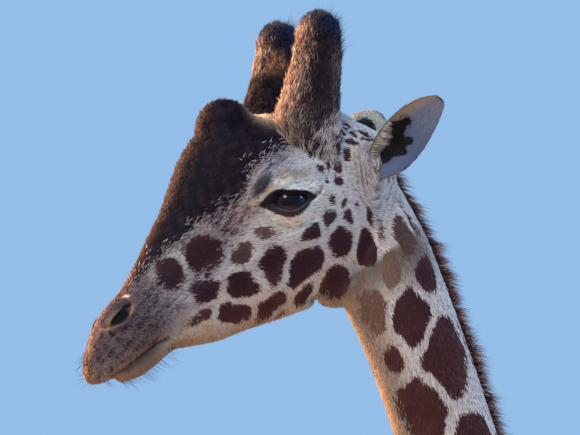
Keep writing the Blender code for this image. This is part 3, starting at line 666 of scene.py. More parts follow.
def eye_centres(points):
    """The centre of the eye on each point's own side."""
    return np.where(points[:, :1] > 0, EYE[None], EYE[None] * [-1, 1, 1])


def domed(points):
    """The skin pushed out to a ball just over the eyeball, away from its centre.

    smax(r, R) = (r + R + sqrt((r - R)^2 + k^2)) / 2, where r is the distance from the eye.
    """
    out = eye_place(points)[2]
    centre = eye_centres(points)
    moved = points - centre
    far = np.linalg.norm(moved, axis=1)
    k = 0.004  # how softly the ball runs out into the skin round it
    wanted = (far + LID_RADIUS - k / 2 + np.sqrt((far - LID_RADIUS) ** 2 + k * k)) / 2
    near = ramp(0.0, 0.008, out) * (1 - ramp(0.052, 0.060, far))
    return centre + moved * (1 + near * (wanted / far - 1))[:, None]


def opened(points):
    """The skin inside the eye's opening, drawn back behind the front of the eyeball."""
    a, b, out = eye_place(points)
    centre = eye_centres(points)
    moved = points - centre
    far = np.linalg.norm(moved, axis=1)
    inside = ramp(-0.0003, 0.0006, between(opening(a), b))
    inside *= (out > 0) & (far < 0.05)
    return centre + moved * (1 + inside * ((EYE_RADIUS - TURNED_IN) / far - 1))[:, None]


move_points(skin, carved(points_of(skin), normals_of(skin)))
move_points(skin, points_of(skin) - coat_depth(points_of(skin))[:, None] * normals_of(skin))
move_points(skin, domed(points_of(skin)))
for _ in range(2):  # finer round the opening, where the lids' edges turn in
    a, b, out = eye_place(points_of(skin))
    divided(skin, (between(opening(a), b) > -0.006) & (out > 0.0) & (np.hypot(a, b) < 0.05))
    move_points(skin, domed(points_of(skin)))
TRIANGLES = ("TRIANGULATE", {})
with_modifiers(skin, TRIANGLES)
move_points(skin, opened(points_of(skin)))


CORONET = 0.118
CORONET_FALL = (0, 0.18, 1)  # square to the coronet, which falls forwards


def cut_feet(piece, level):
    """Cuts each leg off at its coronet and closes the cut."""
    mesh = bmesh.new()
    mesh.from_mesh(piece.data)
    for name in LEGS:
        place = Vector(foot_place(name)) + Vector((0, 0, level))
        foot = [v for v in mesh.verts if v.co.z < 0.3 and (v.co - place).length < 0.3]
        edges = {e for v in foot for e in v.link_edges}
        faces = {f for v in foot for f in v.link_faces}
        bmesh.ops.bisect_plane(
            mesh, geom=[*foot, *edges, *faces], plane_co=place, plane_no=CORONET_FALL,
            clear_inner=True)
    rim = [edge for edge in mesh.edges if edge.is_boundary]
    bmesh.ops.triangle_fill(mesh, edges=rim, use_beauty=True)
    bmesh.ops.recalc_face_normals(mesh, faces=mesh.faces)
    mesh.to_mesh(piece.data)
    mesh.free()


cut_feet(skin, CORONET - 0.004)
skin.data.shade_smooth()
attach(skin, "root")
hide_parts("head", "lower_jaw", "neck_upper", "neck_lower", "trunk", *(
    f"{part}_{name}" for part in ("upper_leg", "lower_leg") for name in LEGS))
skin_material = new_material("short_haired_hide", Roughness=0.75, Specular_IOR_Level=0.15)
skin.data.materials.append(skin_material)

# ---------------------------------------------------------------- the markings
# A net of cream lines over liver-brown patches, pigment in the hairs and in the skin below them.
# Each patch spreads from its own middle, and where two would meet the hair between stays pale.
CREAM = "#d4cac2"
LIVER = "#3b2229"
HEAD_PATCHES = [  # along, above, half length, half width, tilt in degrees, how faded
    (0.221, 0.065, 0.024, 0.027, -35, 0.0), (0.287, 0.063, 0.032, 0.031, 10, 0.0),
    (0.253, 0.010, 0.027, 0.019, -20, 0.0), (0.317, -0.022, 0.032, 0.020, -34, 0.0),
    (0.338, 0.023, 0.020, 0.013, 5, 0.2), (0.388, 0.033, 0.014, 0.009, -20, 0.5),
    (0.229, -0.026, 0.025, 0.008, -6, 0.1), (0.284, -0.055, 0.035, 0.015, -39, 0.0),
    (0.348, -0.087, 0.029, 0.019, 11, 0.0), (0.362, -0.112, 0.012, 0.010, -3, 0.2),
    (0.374, -0.026, 0.031, 0.027, 45, 0.0), (0.424, -0.061, 0.044, 0.031, 12, 0.0),
    (0.416, -0.099, 0.026, 0.017, 44, 0.0), (0.477, -0.121, 0.032, 0.026, 30, 0.0),
    (0.510, -0.065, 0.031, 0.024, 83, 0.0), (0.560, -0.104, 0.033, 0.018, 67, 0.0),
    (0.460, -0.019, 0.023, 0.014, 2, 0.0), (0.505, -0.017, 0.018, 0.013, 33, 0.1),
    (0.541, -0.037, 0.016, 0.011, 87, 0.0), (0.566, -0.043, 0.007, 0.006, 62, 0.1),
    (0.585, -0.070, 0.022, 0.009, -86, 0.0), (0.592, -0.095, 0.022, 0.007, 71, 0.5),
]
TEMPLE_SPOTS = [
    (0.559, 0.111, 0.009, 0.007, 54, 0.0), (0.560, 0.091, 0.012, 0.006, 53, 0.0),
    (0.544, 0.090, 0.009, 0.005, -78, 0.0), (0.564, 0.077, 0.008, 0.004, 57, 0.0),
    (0.561, 0.060, 0.013, 0.006, 61, 0.0), (0.544, 0.059, 0.008, 0.007, 70, 0.0),
    (0.592, 0.067, 0.011, 0.010, 42, 0.0), (0.578, 0.043, 0.013, 0.010, 45, 0.0),
    (0.560, 0.025, 0.011, 0.010, 45, 0.0), (0.610, 0.047, 0.012, 0.009, 46, 0.1),
    (0.634, 0.062, 0.010, 0.008, -33, 0.0), (0.601, 0.089, 0.014, 0.004, 12, 0.0),
    (0.620, 0.090, 0.009, 0.003, 22, 0.0), (0.621, 0.077, 0.010, 0.006, 44, 0.0),
    (0.636, 0.082, 0.009, 0.006, 68, 0.0), (0.648, 0.086, 0.008, 0.006, 64, 0.0),
    (0.658, 0.085, 0.008, 0.006, 70, 0.0), (0.650, 0.066, 0.008, 0.005, -68, 0.0),
    (0.672, 0.052, 0.014, 0.004, -42, 0.0), (0.667, 0.044, 0.018, 0.003, -35, 0.0),
    (0.540, 0.040, 0.006, 0.003, 44, 0.0), (0.547, -0.010, 0.012, 0.005, 37, 0.1),
    (0.528, 0.007, 0.009, 0.006, 19, 0.1), (0.609, 0.109, 0.011, 0.003, 18, 0.0),
    (0.569, -0.035, 0.010, 0.005, 80, 0.1),
]
NECK_PATCHES = [  # along the neck, towards the nape, half length, half width, tilt, how faded
    (2.446, 0.021, 0.038, 0.023, -6, 0.3), (2.381, 0.035, 0.036, 0.023, -4, 0.0),
    (2.409, -0.027, 0.037, 0.018, 12, 0.7), (2.343, -0.079, 0.042, 0.026, 12, 0.5),
    (2.319, -0.020, 0.052, 0.037, 10, 0.0), (2.263, -0.071, 0.025, 0.013, -1, 0.0),
    (2.230, 0.024, 0.072, 0.053, 13, 0.0), (2.163, -0.054, 0.053, 0.040, -9, 0.0),
    (2.084, 0.014, 0.045, 0.041, 0, 0.0), (2.461, 0.049, 0.047, 0.009, -20, 0.1),
    (2.280, 0.080, 0.075, 0.014, -4, 0.1), (2.090, 0.087, 0.075, 0.015, -2, 0.1),
]
KITES = (4, 6)  # the neck patches that run out to a point at each end
marking_rng = np.random.default_rng(11)


def unit(v):
    """v / |v|, for one vector or for a row of them."""
    v = np.asarray(v, float)
    return v / np.linalg.norm(v, axis=-1, keepdims=True)


def hand_placed(rows, origin, along, above, half_line, grow, kites=()):
    """Each patch as (middle, axes over their half sizes, power, radius, half line, grow, fade).

    Its middle lies on the skin, on the outermost point at that place, and the same patch lies on
    the right side a little moved, turned and resized, as the two sides are never quite alike.
    """
    body = points_of(skin)
    u, v, x = (body - origin) @ along, (body - origin) @ above, body[:, 0]
    made = []
    for number, (at, level, length, width, tilt, fade) in enumerate(rows):
        near = np.hypot(u - at, v - level)
        for side in SIDES.values():
            reach = np.where(near < max(0.012, near.min() + 0.002), side * x, -1.0)
            middle = origin + at * along + level * above + side * max(reach.max(), 0.02) * OUT
            turn, size = math.radians(tilt), 1.0
            if side < 0:
                turn += marking_rng.normal(0, 0.10)
                size = marking_rng.normal(1.0, 0.05)
                middle += 0.15 * width * (marking_rng.normal() * along + marking_rng.normal() * above)
            long_axis = math.cos(turn) * along + math.sin(turn) * above
            wide_axis = -math.sin(turn) * along + math.cos(turn) * above
            axes = np.stack([
                long_axis / (length * size), wide_axis / (width * size),
                OUT / (1.7 * max(length, width, 0.012))])
            power = 1.45 if number in kites else 2.3
            made.append((
                middle, axes, power, size * math.sqrt(length * width), half_line, grow, fade))
    return made


def patch_spacing(points):
    """How far apart the middles of neighbouring patches lie."""
    t, z = along_neck(points), points[:, 2]
    on_neck = (t > 0.35) & (points[:, 1] < -0.2)
    neck = through([0.3, 0.6, 1.0, 1.5, 2.0], [0.26, 0.22, 0.19, 0.15, 0.11], t)
    body = through(
        [0.1, 0.3, 0.6, 1.05, 1.5, 1.9, 2.3], [0.034, 0.042, 0.052, 0.078, 0.125, 0.19, 0.27], z)
    return np.where(on_neck, neck, body)


def scattered():
    """Patches over the rest of the body, thrown at random and evened out three times."""
    body = points_of(skin)
    body = body[along_neck(body) < 2.02]
    apart = patch_spacing(body)
    weight = 1 / apart**2
    tries = marking_rng.choice(len(body), 9000, p=weight / weight.sum())
    kept = np.empty((0, 3))
    for i in tries:
        if len(kept) == 0 or (np.linalg.norm(kept - body[i], axis=1) > 0.80 * apart[i]).all():
            kept = np.vstack([kept, body[i]])
    sample = body[marking_rng.choice(len(body), 16000, p=weight / weight.sum())]
    for _ in range(3):
        owner = np.concatenate([
            ((part[:, None] - kept[None]) ** 2).sum(axis=2).argmin(axis=1)
            for part in np.array_split(sample, 20)])
        total = np.maximum(np.bincount(owner, minlength=len(kept)), 1)
        middle = np.stack(
            [np.bincount(owner, weights=sample[:, k], minlength=len(kept)) for k in range(3)], axis=1)
        kept = np.where(total[:, None] > 3, middle / total[:, None], kept)
    made = []
    for middle, wide in zip(kept, patch_spacing(kept)):
        radius = 0.5 * wide
        line = 0.0125 * min(1.0, 0.35 + 0.65 * wide / 0.2)
        fade = float(np.clip(marking_rng.normal(0.06, 0.06), 0, 0.3))
        made.append((middle, np.eye(3) / radius, 2.0, radius, line, 0.45 * radius, fade))
    return made


PATCHES = hand_placed(HEAD_PATCHES, LIP, BACK, UP, 0.0055, 0.0022)
PATCHES += hand_placed(TEMPLE_SPOTS, LIP, BACK, UP, 0.0022, 0.0003)
PATCHES += hand_placed(NECK_PATCHES, NECK_ROOT, ALONG_NECK, NAPE_SIDE, 0.0080, 0.0030, KITES)
PATCHES += scattered()


def patch_edge(points):
    """How far inside its patch's edge each point lies, and the patch's fade.

    To a patch, a point's distance is (q - 1) R, where q is its distance from the middle over
    the half sizes and R the patch's radius. The edge lies where the nearest patch stops
    growing, or halfway to the next one less the half width of the pale line.
    """
    first = np.full(len(points), 0.5)
    second = np.full(len(points), 0.6)
    owner = np.full(len(points), -1)
    for i, (middle, axes, power, radius, _, _, _) in enumerate(PATCHES):
        reach = 3.4 * radius if power == 2.0 else 0.14
        near = np.flatnonzero((np.abs(points - middle) < reach).all(axis=1))
        w = np.abs((points[near] - middle) @ axes.T)
        if power == 2.0:
            q = np.linalg.norm(w, axis=1)
        else:
            q = np.sqrt((w[:, 0] ** power + w[:, 1] ** power) ** (2 / power) + w[:, 2] ** 2)
        gap = (q - 1) * radius
        closer = gap < first[near]
        second[near] = np.where(closer, first[near], np.minimum(second[near], gap))
        first[near] = np.where(closer, gap, first[near])
        owner[near[closer]] = i
    line, grow, fade = (np.array([patch[k] for patch in PATCHES]) for k in (4, 5, 6))
    edge = np.minimum(grow[owner] - first, (second - first) / 2 - line[owner])
    return edge, fade[owner]


WAVES = np.random.default_rng(5).normal(size=(3, 7, 3))
PHASES = np.random.default_rng(6).uniform(0, 2 * math.pi, (3, 7))


def wobble(points, wave):
    """Three sums of seven sines whose crests run every way, about a wavelength apart."""
    waves = unit(WAVES) * 2 * math.pi / wave
    return np.stack(
        [np.sin(points @ waves[k].T + PHASES[k]).sum(axis=1) / 2.6 for k in range(3)], axis=1)


def all_over(hex_colour, count):
    """One colour, a row for each point."""
    return np.repeat(np.array(linear(hex_colour)[:3])[None], count, axis=0)


def mixed(colour, other, weight):
    """colour (1 - w) + other w, where other is a hex colour or one colour for each point."""
    if isinstance(other, str):
        other = np.array(linear(other)[:3])
    return colour + (other - colour) * weight[:, None]


def combed(points, wave):
    """The first wobble, drawn out five times along the head, as combed hair mixes."""
    return wobble(points - 0.8 * (points @ BACK)[:, None] * BACK, wave)[:, 0]


# along, the level above which the forehead is dark
FOREHEAD = [
    (0.060, 0.100), (0.110, 0.084), (0.150, 0.082), (0.179, 0.088), (0.257, 0.096),
    (0.323, 0.102), (0.405, 0.106), (0.447, 0.130), (0.494, 0.128), (0.540, 0.126),
    (0.575, 0.150), (0.620, 0.230),
]
# The fold behind the jaw, darkened with painted shade along this line.
JAW_FOLD_SHADE = [(0.425, -0.123), (0.470, -0.136), (0.551, -0.132)]
EAR_AT = (0.642, -0.001)
FOOT_DOWN = (-0.602, -0.799)  # where the ear's foot runs to, along and above


def ear_foot(s, h):
    """How far behind the ear's foot and, halved, how far down it: its hairs run round both."""
    u, v = s - EAR_AT[0], h - EAR_AT[1]
    down = u * FOOT_DOWN[0] + v * FOOT_DOWN[1]
    return v * FOOT_DOWN[0] - u * FOOT_DOWN[1], down / 2


def jaw_bottom(s):
    """The level of the jaw's lower edge."""
    return through([row[0] for row in JAW], [row[2] for row in JAW], s)


def bump_of(u, v, middle, radii):
    """exp(-((u - u0) / a)^2 - ((v - v0) / b)^2)."""
    return np.exp(-(((u - middle[0]) / radii[0]) ** 2) - ((v - middle[1]) / radii[1]) ** 2)


def coat_fields(points):
    """Each point's pale and dark colour, its depth inside a patch, and how mixed its hairs are."""
    s, h, x = head_place(points)
    a, b, out = eye_place(points)
    t, z = along_neck(points), points[:, 2]
    body = 1 - ramp(1.7, 2.05, t)
    moved = points + (0.0021 * wobble(points, 0.035) + 0.0009 * wobble(points, 0.012)) * (
        1 - body[:, None])
    moved += (0.007 * wobble(points, 0.16) + 0.0030 * wobble(points, 0.05)) * (
        body * (0.25 + 0.75 * ramp(0.6, 2.0, z)))[:, None]
    edge, fade = patch_edge(moved)
    head = ramp(2.30, 2.45, t) * (s < 0.80)
    edge -= 0.02 * (1 - ramp(0.04, 0.45, z)) * (1 - 0.6 * ramp(0.1, 0.4, z))

    pale = all_over(CREAM, len(points))
    pale = mixed(pale, "#dfd8cd", body * 0.5)
    pale = mixed(pale, "#e9ddc6", (1 - ramp(0.5, 1.3, z)) * 0.8)
    dark = all_over(LIVER, len(points))
    dark = mixed(dark, "#4f2c28", (1 - ramp(2.2, 2.5, t)) * 0.75)
    redder = (1 - ramp(0.002, 0.014, edge)) * np.clip(0.5 + 0.6 * wobble(points, 0.05)[:, 1], 0, 1)
    dark = mixed(dark, "#5f3632", redder * 0.55)
    dark = mixed(dark, "#8f7262", np.clip(fade, 0, 1))
    dark = mixed(dark, "#a4866a", (1 - ramp(0.3, 1.0, z)) * 0.5)

    level = through(*zip(*FOREHEAD), s)
    top = head * (1 - ramp(0.63, 0.67, s))
    brow_edge = np.where(top > 0.5, (h + 0.004 * wobble(points, 0.05)[:, 0] - level) * 0.40, -1.0)
    in_brow = ramp(-0.002, 0.002, brow_edge)
    edge = np.maximum(edge, brow_edge)
    dark = mixed(dark, "#140a19", in_brow)
    dark = mixed(dark, "#302023", in_brow * (1 - ramp(0.15, 0.30, s)) * 0.8)
    tufted = wobble(points, 0.022)[:, 1] + 0.6 * wobble(points, 0.009)[:, 2]
    dark = mixed(dark, "#38242e", in_brow * np.clip(0.12 + 0.40 * tufted, 0, 0.7))

    # Cream hair on the ridge behind the boss, made brighter with painted sunlight.
    cream_and_sunlit_saddle = head * bump_of(s, h, (0.549, 0.192), (0.022, 0.026))
    dark = mixed(dark, "#fbe3bd", np.minimum(1.25 * cream_and_sunlit_saddle, 0.97))

    mixed_hair = 0.0010 + 0.0015 * in_brow
    spots = (  # along, above, their reach each way, and how dark the mixed hair is there
        (0.370, 0.092, 0.062, 0.034, 1.42), (0.165, 0.060, 0.050, 0.050, 1.15),
        (0.205, 0.020, 0.045, 0.030, 0.95), (0.400, 0.020, 0.035, 0.020, 0.65),
        (0.270, 0.096, 0.120, 0.014, 0.8), (0.487, 0.124, 0.048, 0.022, 1.15),
        (0.320, 0.048, 0.030, 0.022, 0.9), (0.470, 0.100, 0.040, 0.020, 0.75),
        (0.535, 0.124, 0.030, 0.020, 1.1), (0.200, -0.020, 0.040, 0.016, 0.7),
        (0.285, 0.033, 0.030, 0.016, 0.95), (0.350, 0.070, 0.044, 0.022, 1.32),
        (0.262, 0.034, 0.032, 0.022, 1.50), (0.350, 0.118, 0.055, 0.016, 1.60),
        (0.300, 0.078, 0.045, 0.016, 0.95),
    )
    streaks = combed(points, 0.010)
    for along, above, length, width, amount in spots:
        w = amount * head * bump_of(s, h, (along, above), (length, width))
        edge = np.maximum(edge, -0.012 + w * (0.0105 + 0.0030 * streaks))
        mixing = 0.0010 + 0.0026 * np.minimum(w, 1.3) * (1 - 0.6 * in_brow)
        mixed_hair = np.maximum(mixed_hair, mixing)
        pale = mixed(pale, "#7a6870", 0.45 * np.clip(w, 0, 1))

    muzzle = (1 - ramp(0.130, 0.245, s + 0.8 * np.maximum(0.01 - h, 0))) * head
    pale = mixed(pale, "#5f4a4c", muzzle * 0.92)
    dark = mixed(dark, "#281c23", muzzle * 0.9)
    edge = np.maximum(edge, -0.012 + (0.0112 + 0.0022 * streaks) * muzzle * (h > -0.02))
    mixed_hair = mixed_hair + 0.0022 * muzzle
    # Painted sunlight: a warm orange band along the lit front of the muzzle.
    front = (1 - ramp(-0.004, 0.022, s)) * head
    pale = mixed(pale, "#d89a52", front * 0.9)
    lip_line = through(*zip(*MOUTH), s)
    below = head * (1 - ramp(-0.003, 0.001, h - lip_line)) * (s < 0.24)
    lower_lip = below * (1 - ramp(0.10, 0.165, s))
    pale = mixed(pale, "#3e1d1b", lower_lip * 0.97)
    pale = mixed(pale, "#c9b79a", below * ramp(0.11, 0.17, s) * 0.7)
    lip_edge = furrow(s, h - 0.0065, MOUTH, 0.0040) * ramp(0.04, 0.06, s) * head
    pale = mixed(pale, "#a08562", lip_edge * 0.50)
    up_jaw = h - jaw_bottom(s)
    margin = head * ramp(0.15, 0.19, s) * (1 - ramp(0.32, 0.40, s)) * (1 - ramp(0.006, 0.022, up_jaw))
    pale = mixed(pale, "#7d6149", margin * 0.75)
    chin = head * ramp(0.12, 0.16, s) * (1 - ramp(0.18, 0.23, s)) * (1 - ramp(0.010, 0.025, up_jaw))
    pale = mixed(pale, "#6b4a3a", chin * 0.6)
    mixed_hair = mixed_hair + 0.0012 * np.maximum(margin, chin)
    edge = np.maximum(edge, -0.012 + np.maximum(margin, chin) * (0.0090 + 0.0030 * streaks))

    surround = head * bump_of(a, b, (0.000, -0.020), (0.075, 0.036)) * (out > -0.02)
    pale = mixed(pale, "#eee3cd", surround * 0.8)
    lid_band = head * furrow(a, b, [(-0.018, 0.036), (0.010, 0.036), (0.045, 0.027)], 0.011)
    pale = mixed(pale, "#f0e6d3", lid_band * 0.95 * (out > -0.02))
    edge = np.where(lid_band * head > 0.5, np.minimum(edge, -0.004), edge)
    brow_tan = head * bump_of(a, b, (0.022, 0.046), (0.034, 0.014)) * (out > -0.03)
    pale = mixed(pale, "#ad9274", brow_tan * 0.75)
    mixed_hair = mixed_hair + 0.0015 * brow_tan
    tan_line = head * furrow(a, b, [(-0.066, 0.004), (-0.050, 0.016), (-0.030, 0.031)], 0.0045)
    pale = mixed(pale, "#c49f68", tan_line * 0.7)
    # Painted shade in the hollow above the eye.
    hollow = head * (1 - ramp(0.50, 1.20, oval(a, b, HOLLOW_SHADE)))
    corner = head * furrow(a, b, [(0.046, 0.007), (0.058, 0.011), (0.066, 0.020)], 0.0030)

    # Painted shade under the rear of the jaw.
    throat = ramp(2.34, 2.42, t) * (1 - ramp(0.64, 0.70, s)) * (1 - ramp(-0.140, -0.125, h))
    throat *= ramp(0.43, 0.47, s)
    pale = mixed(pale, "#5f4f3a", throat * 0.85)
    n = (points - NECK_ROOT) @ NAPE_SIDE
    # Painted shadow of the head on the front of the neck below it.
    head_shadow_on_neck = (1 - ramp(-0.085, -0.045, n)) * ramp(1.2, 1.9, t) * (1 - ramp(2.38, 2.46, t))
    pale = mixed(pale, "#8f7c66", head_shadow_on_neck * 0.85)
    ear_side = np.clip(1.5 * bump_of(s, h, EAR_AT, (0.052, 0.062)), 0, 1) * head
    ear_side *= 1 - ramp(0.028, 0.050, h)
    from_ear = np.hypot(*ear_foot(s, h))
    from_ear += 0.0030 * wobble(points, 0.06)[:, 1] + 0.0008 * wobble(points, 0.012)[:, 2]
    broken = np.clip(0.65 + 0.55 * wobble(points, 0.030)[:, 0], 0, 1)
    locks_by_ear = (
        (0.0105, "#6d6762", 0.0), (0.0062, "#9a875c", 1.3), (0.0095, "#4a3d36", 4.0))
    for streak, colour, phase in locks_by_ear:
        stripe = ramp(0.35, 0.95, np.sin(2 * math.pi * from_ear / streak + phase))
        pale = mixed(pale, colour, ear_side * stripe * broken * 0.75)
    edge = np.where(ear_side > 0.55, np.minimum(edge, -0.004), edge)

    both = [pale, dark]
    lid_edge = opening(a)[1]
    rim = ramp(-0.0016, 0.0010, between(bare_rim(a), b)) * (out > 0) * head
    basin, slit = oval(s, h, NOSTRIL), oval(s, h, SLIT)
    at_side = ramp(0.012, 0.020, x) * head
    # The nostril's rim: painted sunlight on its upper edge and painted shade on its lower edge.
    ring = np.exp(-(((basin - 1.06) / 0.075) ** 2)) * at_side
    lit_upper_rim = h - NOSTRIL[1] > 0.2 * (s - NOSTRIL[0])
    shaded_lower_rim = ring * ~lit_upper_rim
    ring *= lit_upper_rim * 0.9
    # Painted shade in the creases behind the corner of the mouth.
    crease_shade = np.zeros(len(points))
    for crease in CREASES:
        crease_shade = np.maximum(crease_shade, furrow(s, h, crease, 0.0020))
    inks = (
        ("#2c272f", hollow * 0.95), ("#6f5030", corner * 0.8), ("#3a2520", crease_shade * 0.40 * head),
        # Painted shade in the fold behind the jaw.
        ("#43332a", furrow(s, h, JAW_FOLD_SHADE, 0.0040) * 0.65 * head),
        # Nostril: painted sunlight on the upper rim, painted shade on the lower rim, and the bare basin
        # and the slit darkened with painted shade.
        ("#c9bba9", ring), ("#3a3038", shaded_lower_rim * 0.65),
        ("#2f2f3c", (1 - ramp(0.86, 0.98, basin)) * at_side),
        ("#1d1a22", (1 - ramp(0.9, 2.4, slit)) * (1 - ramp(0.86, 0.98, basin)) * at_side),
        ("#08070a", (1 - ramp(0.90, 1.20, slit)) * at_side),
        # Painted shade in the line where the lips meet.
        ("#24130f", furrow(s, h, MOUTH, 0.0024) * ramp(0.040, 0.055, s) * head),
        ("#0f0d12", rim), ("#2f272d", rim * ramp(0.0008, 0.0030, lid_edge - b)),
        ("#2b2122", rim * (1 - ramp(-0.046, -0.034, a)) * 0.6),
        # A painted wet sheen along the margin of the lower lid.
        ("#8d8b96", rim * np.exp(-(((lid_edge - b - 0.0012) / 0.0008) ** 2)) * 0.40 * (
            ramp(-0.035, -0.028, a) * (1 - ramp(0.018, 0.026, a)))),
    )
    for ink, weight in inks:
        both = [mixed(colour, ink, weight) for colour in both]
    return both[0], both[1], edge, mixed_hair


def give(piece, name, kind, values):
    """Stores one value for each point in a mesh attribute."""
    layer = piece.data.attributes.new(name, kind, "POINT")
    if kind == "FLOAT_COLOR":
        values = np.concatenate([values, np.ones((len(values), 1))], axis=1)
        layer.data.foreach_set("color", values.astype(np.float32).ravel())
    else:
        layer.data.foreach_set("value", np.asarray(values, np.float32))


def marked(piece, points):
    """Stores what coat_fields says of each of a piece's points."""
    pale, dark, edge, mixed_hair = coat_fields(points)
    give(piece, "pale", "FLOAT_COLOR", pale)
    give(piece, "dark", "FLOAT_COLOR", dark)
    give(piece, "edge", "FLOAT", edge)
    give(piece, "mixed_hair", "FLOAT", mixed_hair)


marked(skin, points_of(skin))

# Short-haired hide: matt skin with the coat's own colours, grained by the roots of hairs about
# 1.5 mm apart, which the eye sees as a fine velvety speckle where the coat is thin.
hide = skin_material
place = node(hide, "ShaderNodeTexCoord").outputs["Object"]
grain = node(hide, "ShaderNodeTexNoise", [("Vector", place)], in_2=650.0, in_3=2.0).outputs[0]
hair_wave = node(hide, "ShaderNodeMath", [(0, grain)], operation="SUBTRACT", in_1=0.5).outputs[0]
amount = node(hide, "ShaderNodeAttribute", attribute_name="mixed_hair").outputs["Fac"]
ragged = node(hide, "ShaderNodeMath", [(0, hair_wave), (1, amount)], operation="MULTIPLY")
inside = node(hide, "ShaderNodeAttribute", attribute_name="edge").outputs["Fac"]
ragged = node(hide, "ShaderNodeMath", [(0, ragged.outputs[0]), (2, inside)],
              operation="MULTIPLY_ADD", in_1=6.0)
cover = node(hide, "ShaderNodeMapRange", [(0, ragged.outputs[0])], in_1=-0.0012, in_2=0.0012)
pale_of = node(hide, "ShaderNodeAttribute", attribute_name="pale").outputs["Color"]
dark_of = node(hide, "ShaderNodeAttribute", attribute_name="dark").outputs["Color"]
pigment = node(hide, "ShaderNodeMix", [(0, cover.outputs[0]), (6, pale_of), (7, dark_of)],
               data_type="RGBA")
shade = node(hide, "ShaderNodeMapRange", [(0, grain)], in_1=0.3, in_2=0.7, in_3=0.82, in_4=1.10)
toned = node(hide, "ShaderNodeVectorMath", [(0, pigment.outputs[2]), (1, shade.outputs[0])],
             operation="MULTIPLY")
into_shader(hide, "Base Color", toned.outputs[0])
bump = node(hide, "ShaderNodeBump", [("Height", grain)], in_0=0.5, in_1=0.0008)
into_shader(hide, "Normal", bump.outputs[0])

# ---------------------------------------------------------------- the coat
# Short stiff hair over the whole hide, 5 to 8 mm on the face and 25 mm on the trunk, lying back
# and down. Each tuft is a thin closed wedge: a root as wide as the tuft, a ridge and a pointed tip.
PATCH_SIDE = 0.003  # of the OFBake map, for each tuft
MIXING_REACH = 1.6  # how far past a patch's edge its hairs stray, over the mixing there
WILDEST = 1.8  # how much steeper than its neighbours a tuft may stand
TUFT_SHADES = (0.80, 0.80, 1.00, 1.10)  # how light a tuft is at its root, ridge and tip


def guard_hair(name):
    """Guard hair: the pigment of each hair from its attribute, with a soft dull gloss."""
    hair = new_material(name, Roughness=0.62, Specular_IOR_Level=0.16)
    colour = node(hair, "ShaderNodeAttribute", attribute_name="hair").outputs["Color"]
    into_shader(hair, "Base Color", colour)
    return hair


short_hair = guard_hair("short_guard_hair")


def hair_lie(points, normals):
    """Which way the hair lies along the skin: back over the face, down the neck and the legs."""
    s, h, x = head_place(points)
    t, z = along_neck(points), points[:, 2]
    on_face = (ramp(2.36, 2.56, t) * (1 - ramp(0.60, 0.70, s)))[:, None]
    on_neck = ((t > 0.0) * (1 - ramp(-0.35, 0.10, points[:, 1])))[:, None]
    on_leg = (1 - ramp(1.5, 2.1, z))[:, None]
    trunk = np.array([0.0, 0.88, -0.48])
    down_neck = unit(-ALONG_NECK - 0.25 * NAPE_SIDE)
    way = trunk * (1 - on_neck) + down_neck * on_neck
    way = way * (1 - on_leg) + np.array([0.0, 0.15, -1.0]) * on_leg
    drop_away = (0.10 + 0.5 * ramp(-0.02, 0.10, x - h))[:, None]
    way = way * (1 - on_face) + (BACK - drop_away * UP) * on_face
    whorl = np.clip(1.3 * bump_of(s, h, EAR_AT, (0.050, 0.060)), 0, 1)[:, None] * (x > 0.03)[:, None]
    behind, down = ear_foot(s, h)
    foot_way = FOOT_DOWN[0] * BACK + FOOT_DOWN[1] * UP
    back_way = -FOOT_DOWN[1] * BACK + FOOT_DOWN[0] * UP
    round_ear = 0.5 * down[:, None] * back_way - behind[:, None] * foot_way
    way = way * (1 - whorl) + unit(round_ear + 1e-5) * whorl
    way = way - (way * normals).sum(axis=1, keepdims=True) * normals
    return unit(way + 1e-6 * ALONG_NECK)


def around(points, middle, along, above, length):
    """An unwrap round a straight line: how far along it, and the angle round it."""
    moved = points - middle
    angle = np.arctan2(moved @ above, moved[:, 0])
    return np.stack([(moved @ along) / length, angle / (2 * math.pi) + 0.5], axis=1)


def scatter(rng, count, chosen, wanted):
    """Roots on the chosen triangles of the skin, evenly by area times what is wanted there."""
    corners = points_of(skin)[skin_faces]
    cross = np.cross(corners[:, 1] - corners[:, 0], corners[:, 2] - corners[:, 0])
    weight = np.linalg.norm(cross, axis=1) * chosen * wanted
    total = np.cumsum(weight)
    steps = (np.arange(count) + rng.random(count)) * total[-1] / count
    face = np.minimum(np.searchsorted(total, steps), len(total) - 1)
    u, v = rng.random((2, count))
    over = u + v > 1
    u, v = np.where(over, 1 - u, u), np.where(over, 1 - v, v)
    share = np.stack([1 - u - v, u, v], axis=1)[..., None]
    normals = (normals_of(skin)[skin_faces[face]] * share).sum(axis=1)
    return (corners[face] * share).sum(axis=1), unit(normals)


def coloured_hairs(points, rng):
    """Each hair is wholly pale or wholly dark, and near an edge either, by chance."""
    pale, dark, edge, mixed_hair = coat_fields(points)
    is_dark = edge + mixed_hair * MIXING_REACH * rng.normal(size=len(points)) > 0
    colour = np.where(is_dark[:, None], dark, pale)
    brown = ~is_dark & (rng.random(len(points)) < 0.08 + 40 * mixed_hair * (mixed_hair < 0.003))
    colour = mixed(colour, "#7d6258", brown * 0.75)
    spread = np.where(is_dark, 0.20, 0.12)[:, None] * (1 + 120 * mixed_hair)[:, None]
    return colour * np.exp(rng.normal(size=(len(points), 1)) * np.clip(spread, 0, 0.30))


